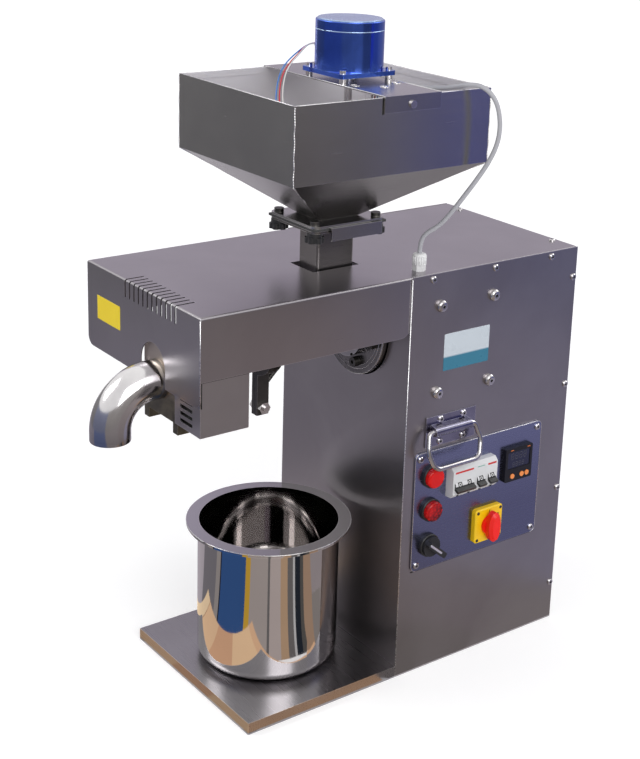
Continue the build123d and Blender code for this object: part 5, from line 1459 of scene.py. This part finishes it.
# %% Helpers for beads
def add_bead(shape, places, radius, closed=False):
    """A slim round bead through points."""
    places = [Vector(place) for place in places]
    count = len(places)
    rings = []
    for number, place in enumerate(places):
        before = places[number - 1] if number or closed else place
        after = places[(number + 1) % count] if number < count - 1 or closed else place
        along = (after - before).normalized()
        lies_across = abs(along.x) > 0.99
        side = along.orthogonal().normalized() if lies_across else along.cross(Vector((1, 0, 0))).normalized()
        rings.append(add_ring(shape, circle_points(place, side, along.cross(side), radius, 6)))
    if closed:
        rings.append(rings[0])
    join_rings(shape, rings, smooth=True)
    if not closed:
        close_ends(shape, rings)


def add_ring_bead(shape, centre, axis, radius, thick, count):
    """A closed bead round a circle."""
    side, other = directions_across(Vector(axis))
    add_bead(shape, circle_points(centre, side, other, radius, count), thick, closed=True)


print("bead helpers ready")

# %% [markdown]
# The cabinet's seam and the hood's corner are straight runs. The panel's rim follows its round corners and
# leaves out the lower edge, which lies in shadow.

# %% Painted highlights on the folds
fold_highlight = metal("painted fold highlight", (0.80, 0.79, 0.80), (0.62, 0.61, 0.62), (0.95, 0.95, 0.95), (0.2, 0.35),
                    cloud=40.0)
seam_x, seam_y = 134.7, 0.3
corner_x, corner_y = 133.2, -297.7
seam_heights, corner_heights = (3.0, 240.0, 546.0), (441.0, 500.0, 545.0)
panel_corner, panel_corner_steps = 8.0, 6
panel_low, panel_high = box_of("panel_plate")


def build_cabinet_seam(shape):
    add_bead(shape, [(seam_x, seam_y, z) for z in seam_heights], 0.8)


def build_hood_corner(shape):
    add_bead(shape, [(corner_x, corner_y, z) for z in corner_heights], 0.55)


def build_panel_rim(shape):
    """An open bead that begins and ends at the lower corners."""
    middle_point, half = (panel_low + panel_high) / 2, (panel_high - panel_low) / 2
    pairs = round_corners(half.y - panel_corner, half.z - panel_corner, panel_corner, panel_corner_steps)
    start = len(pairs) * 3 // 4
    pairs = pairs[start:] + pairs[:start]
    add_bead(shape, [(panel_high.x, middle_point.y + u, middle_point.z + v) for u, v in pairs], 0.45)


piece_from("cabinet_seam", build_cabinet_seam, fold_highlight)
piece_from("hood_corner", build_hood_corner, fold_highlight)
piece_from("panel_rim", build_panel_rim, fold_highlight)
print("panel rim", round(panel_high.y - panel_low.y), "by", round(panel_high.z - panel_low.z), "mm")

# %% [markdown]
# The painted highlight on the hopper's cut edge runs round its top in one closed bead, and the bridge has one
# along each long side. The bowl's flat rim gets a painted highlight at its outer and its inner edge.

# %% Painted highlights on the rims of the hopper and the bowl
fold_inset = 0.6
# Depth under the top, inset from the rim's edge, thickness and number of points
bowl_beads = ((0.8, 0.2, 0.6, 120), (0.5, 15.2, 0.45, 100))
up_axis, forward_axis = (0, 0, 1), (0, 1, 0)


def build_hopper_rim(shape):
    """Painted highlights on the hopper's upper edge and the bridge's two long edges."""
    low, high = box_of("hopper")
    left, right_side = low.x + fold_inset, high.x - fold_inset
    front, back_side = low.y + fold_inset, high.y - fold_inset
    corners = ((left, back_side), (left, front), (right_side, front), (right_side, back_side))
    points = []
    for (x0, y0), (x1, y1) in zip(corners, corners[1:] + corners[:1]):
        points += [(x0 + (x1 - x0) * share, y0 + (y1 - y0) * share, high.z) for share in (0.02, 0.5, 0.98)]
    add_bead(shape, points, 0.6, closed=True)
    bridge_low, bridge_high = box_of("hopper_bridge")
    for y in (bridge_low.y + 0.5, bridge_high.y - 0.5):
        add_bead(shape, [(x, y, bridge_high.z) for x in (left, hopper_middle[0], right_side)], 0.55)


def build_bowl_edge(shape):
    low, high = box_of("oil_bowl")
    radius, middle_y = (high.x - low.x) / 2, (low.y + high.y) / 2
    for depth, inset, thick, count in bowl_beads:
        add_ring_bead(shape, (0, middle_y, high.z - depth), up_axis, radius - inset, thick, count)


piece_from("hopper_rim", build_hopper_rim, fold_highlight)
piece_from("bowl_edge", build_bowl_edge, fold_highlight, body="bowl")
print("bowl edges:", len(bowl_beads))

# %% [markdown]
# A dark joint is a strip of shadow colour where one sheet ends on another: round the heater cover's corner,
# at the end of the bridge's fold on the hopper, and under the panel.

# %% Dark joints
joint_shadow = metal("joint shadow", (0.035, 0.033, 0.03), (0.02, 0.019, 0.018), (0.1, 0.1, 0.1), (0.5, 0.6),
                     cloud=60.0)
hood_side, hopper_side = 132.0, 151.5
# Y, Z, width, height, corner, thickness and the X of the face
joints = (
    (-295.2, 456.0, 1.8, 31.0, 0.5, 0.2, hood_side),
    (-264.0, 471.4, 63.0, 1.0, 0.4, 0.2, hood_side),
    (-69.2, 767.5, 2.2, 20.0, 0.4, 0.25, hopper_side),
    (126.0, 147.0, 216.0, 1.6, 0.6, 0.3, cabinet_side),
)


def build_joints(shape):
    for joint in joints:
        add_panel_plate(shape, *joint)


piece_from("sheet_joints", build_joints, joint_shadow)
print("dark joints:", len(joints))

# %% [markdown]
# ### Rings: motor seam, bridge washers, flange rim and gland ribs
#
# The motor's lid is a separate cap, and the joint between cap and can shows as one bright line. Three empty
# screw holes on the bridge have bright washers. The bearing flange's turned rim carries three bright rings, a
# painted highlight. The gland's nut has fine ribs for the fingers.

# %% Rings and ribs
silver_line = metal("silver line", (0.45, 0.60, 0.85), (0.36, 0.48, 0.75), (0.9, 0.95, 1.0), (0.2, 0.3),
                    cloud=50.0)
press_x, motor_middle_y, can_radius = hopper_middle[0], -27.0, 42.0
cap_skirt = 11.6
seam_height = box_of("stirrer_motor_cap")[0].z - cap_skirt
bridge_holes = ((76.4, -53.6), (99.1, -27.9), (82.6, 3.1))
flange_z = 459.0
gland_x, gland_y, rib_count, rib_reach = 111.0, 29.0, 18, 8.45
rib_heights = (557.0, 562.0, 566.5)
# Height or Y of a ring, its radius, its thickness and its number of points
washer_rings = ((778.6, 5.2, 0.7, 28), (778.5, 3.4, 0.35, 24))
flange_highlight_rings = ((-7.8, 63.6, 0.7, 96), (-8.0, 57.0, 0.5, 96), (-8.0, 52.5, 0.35, 96))
gland_rings = ((556.6, 8.5, 0.7, 48), (567.2, 8.3, 0.5, 48))


def build_motor_seam(shape):
    add_ring_bead(shape, (press_x, motor_middle_y, seam_height), up_axis, can_radius - 0.5, 0.8, 72)


def build_washers(shape):
    for x, y in bridge_holes:
        for z, *ring in washer_rings:
            add_ring_bead(shape, (x, y, z), up_axis, *ring)


def build_flange_highlight(shape):
    for y, *ring in flange_highlight_rings:
        add_ring_bead(shape, (press_x, y, flange_z), forward_axis, *ring)


def build_ribs(shape):
    for angle in (2 * math.pi * number / rib_count for number in range(rib_count)):
        x, y = gland_x + rib_reach * math.cos(angle), gland_y + rib_reach * math.sin(angle)
        add_bead(shape, [(x, y, z) for z in rib_heights], 0.62)
    for z, *ring in gland_rings:
        add_ring_bead(shape, (gland_x, gland_y, z), up_axis, *ring)


piece_from("motor_seam", build_motor_seam, silver_line)
piece_from("bridge_washers", build_washers, bright_steel)
piece_from("flange_rim", build_flange_highlight, bright_steel)
piece_from("gland_ribs", build_ribs, white_nylon)
print("motor seam at z", round(seam_height, 1))
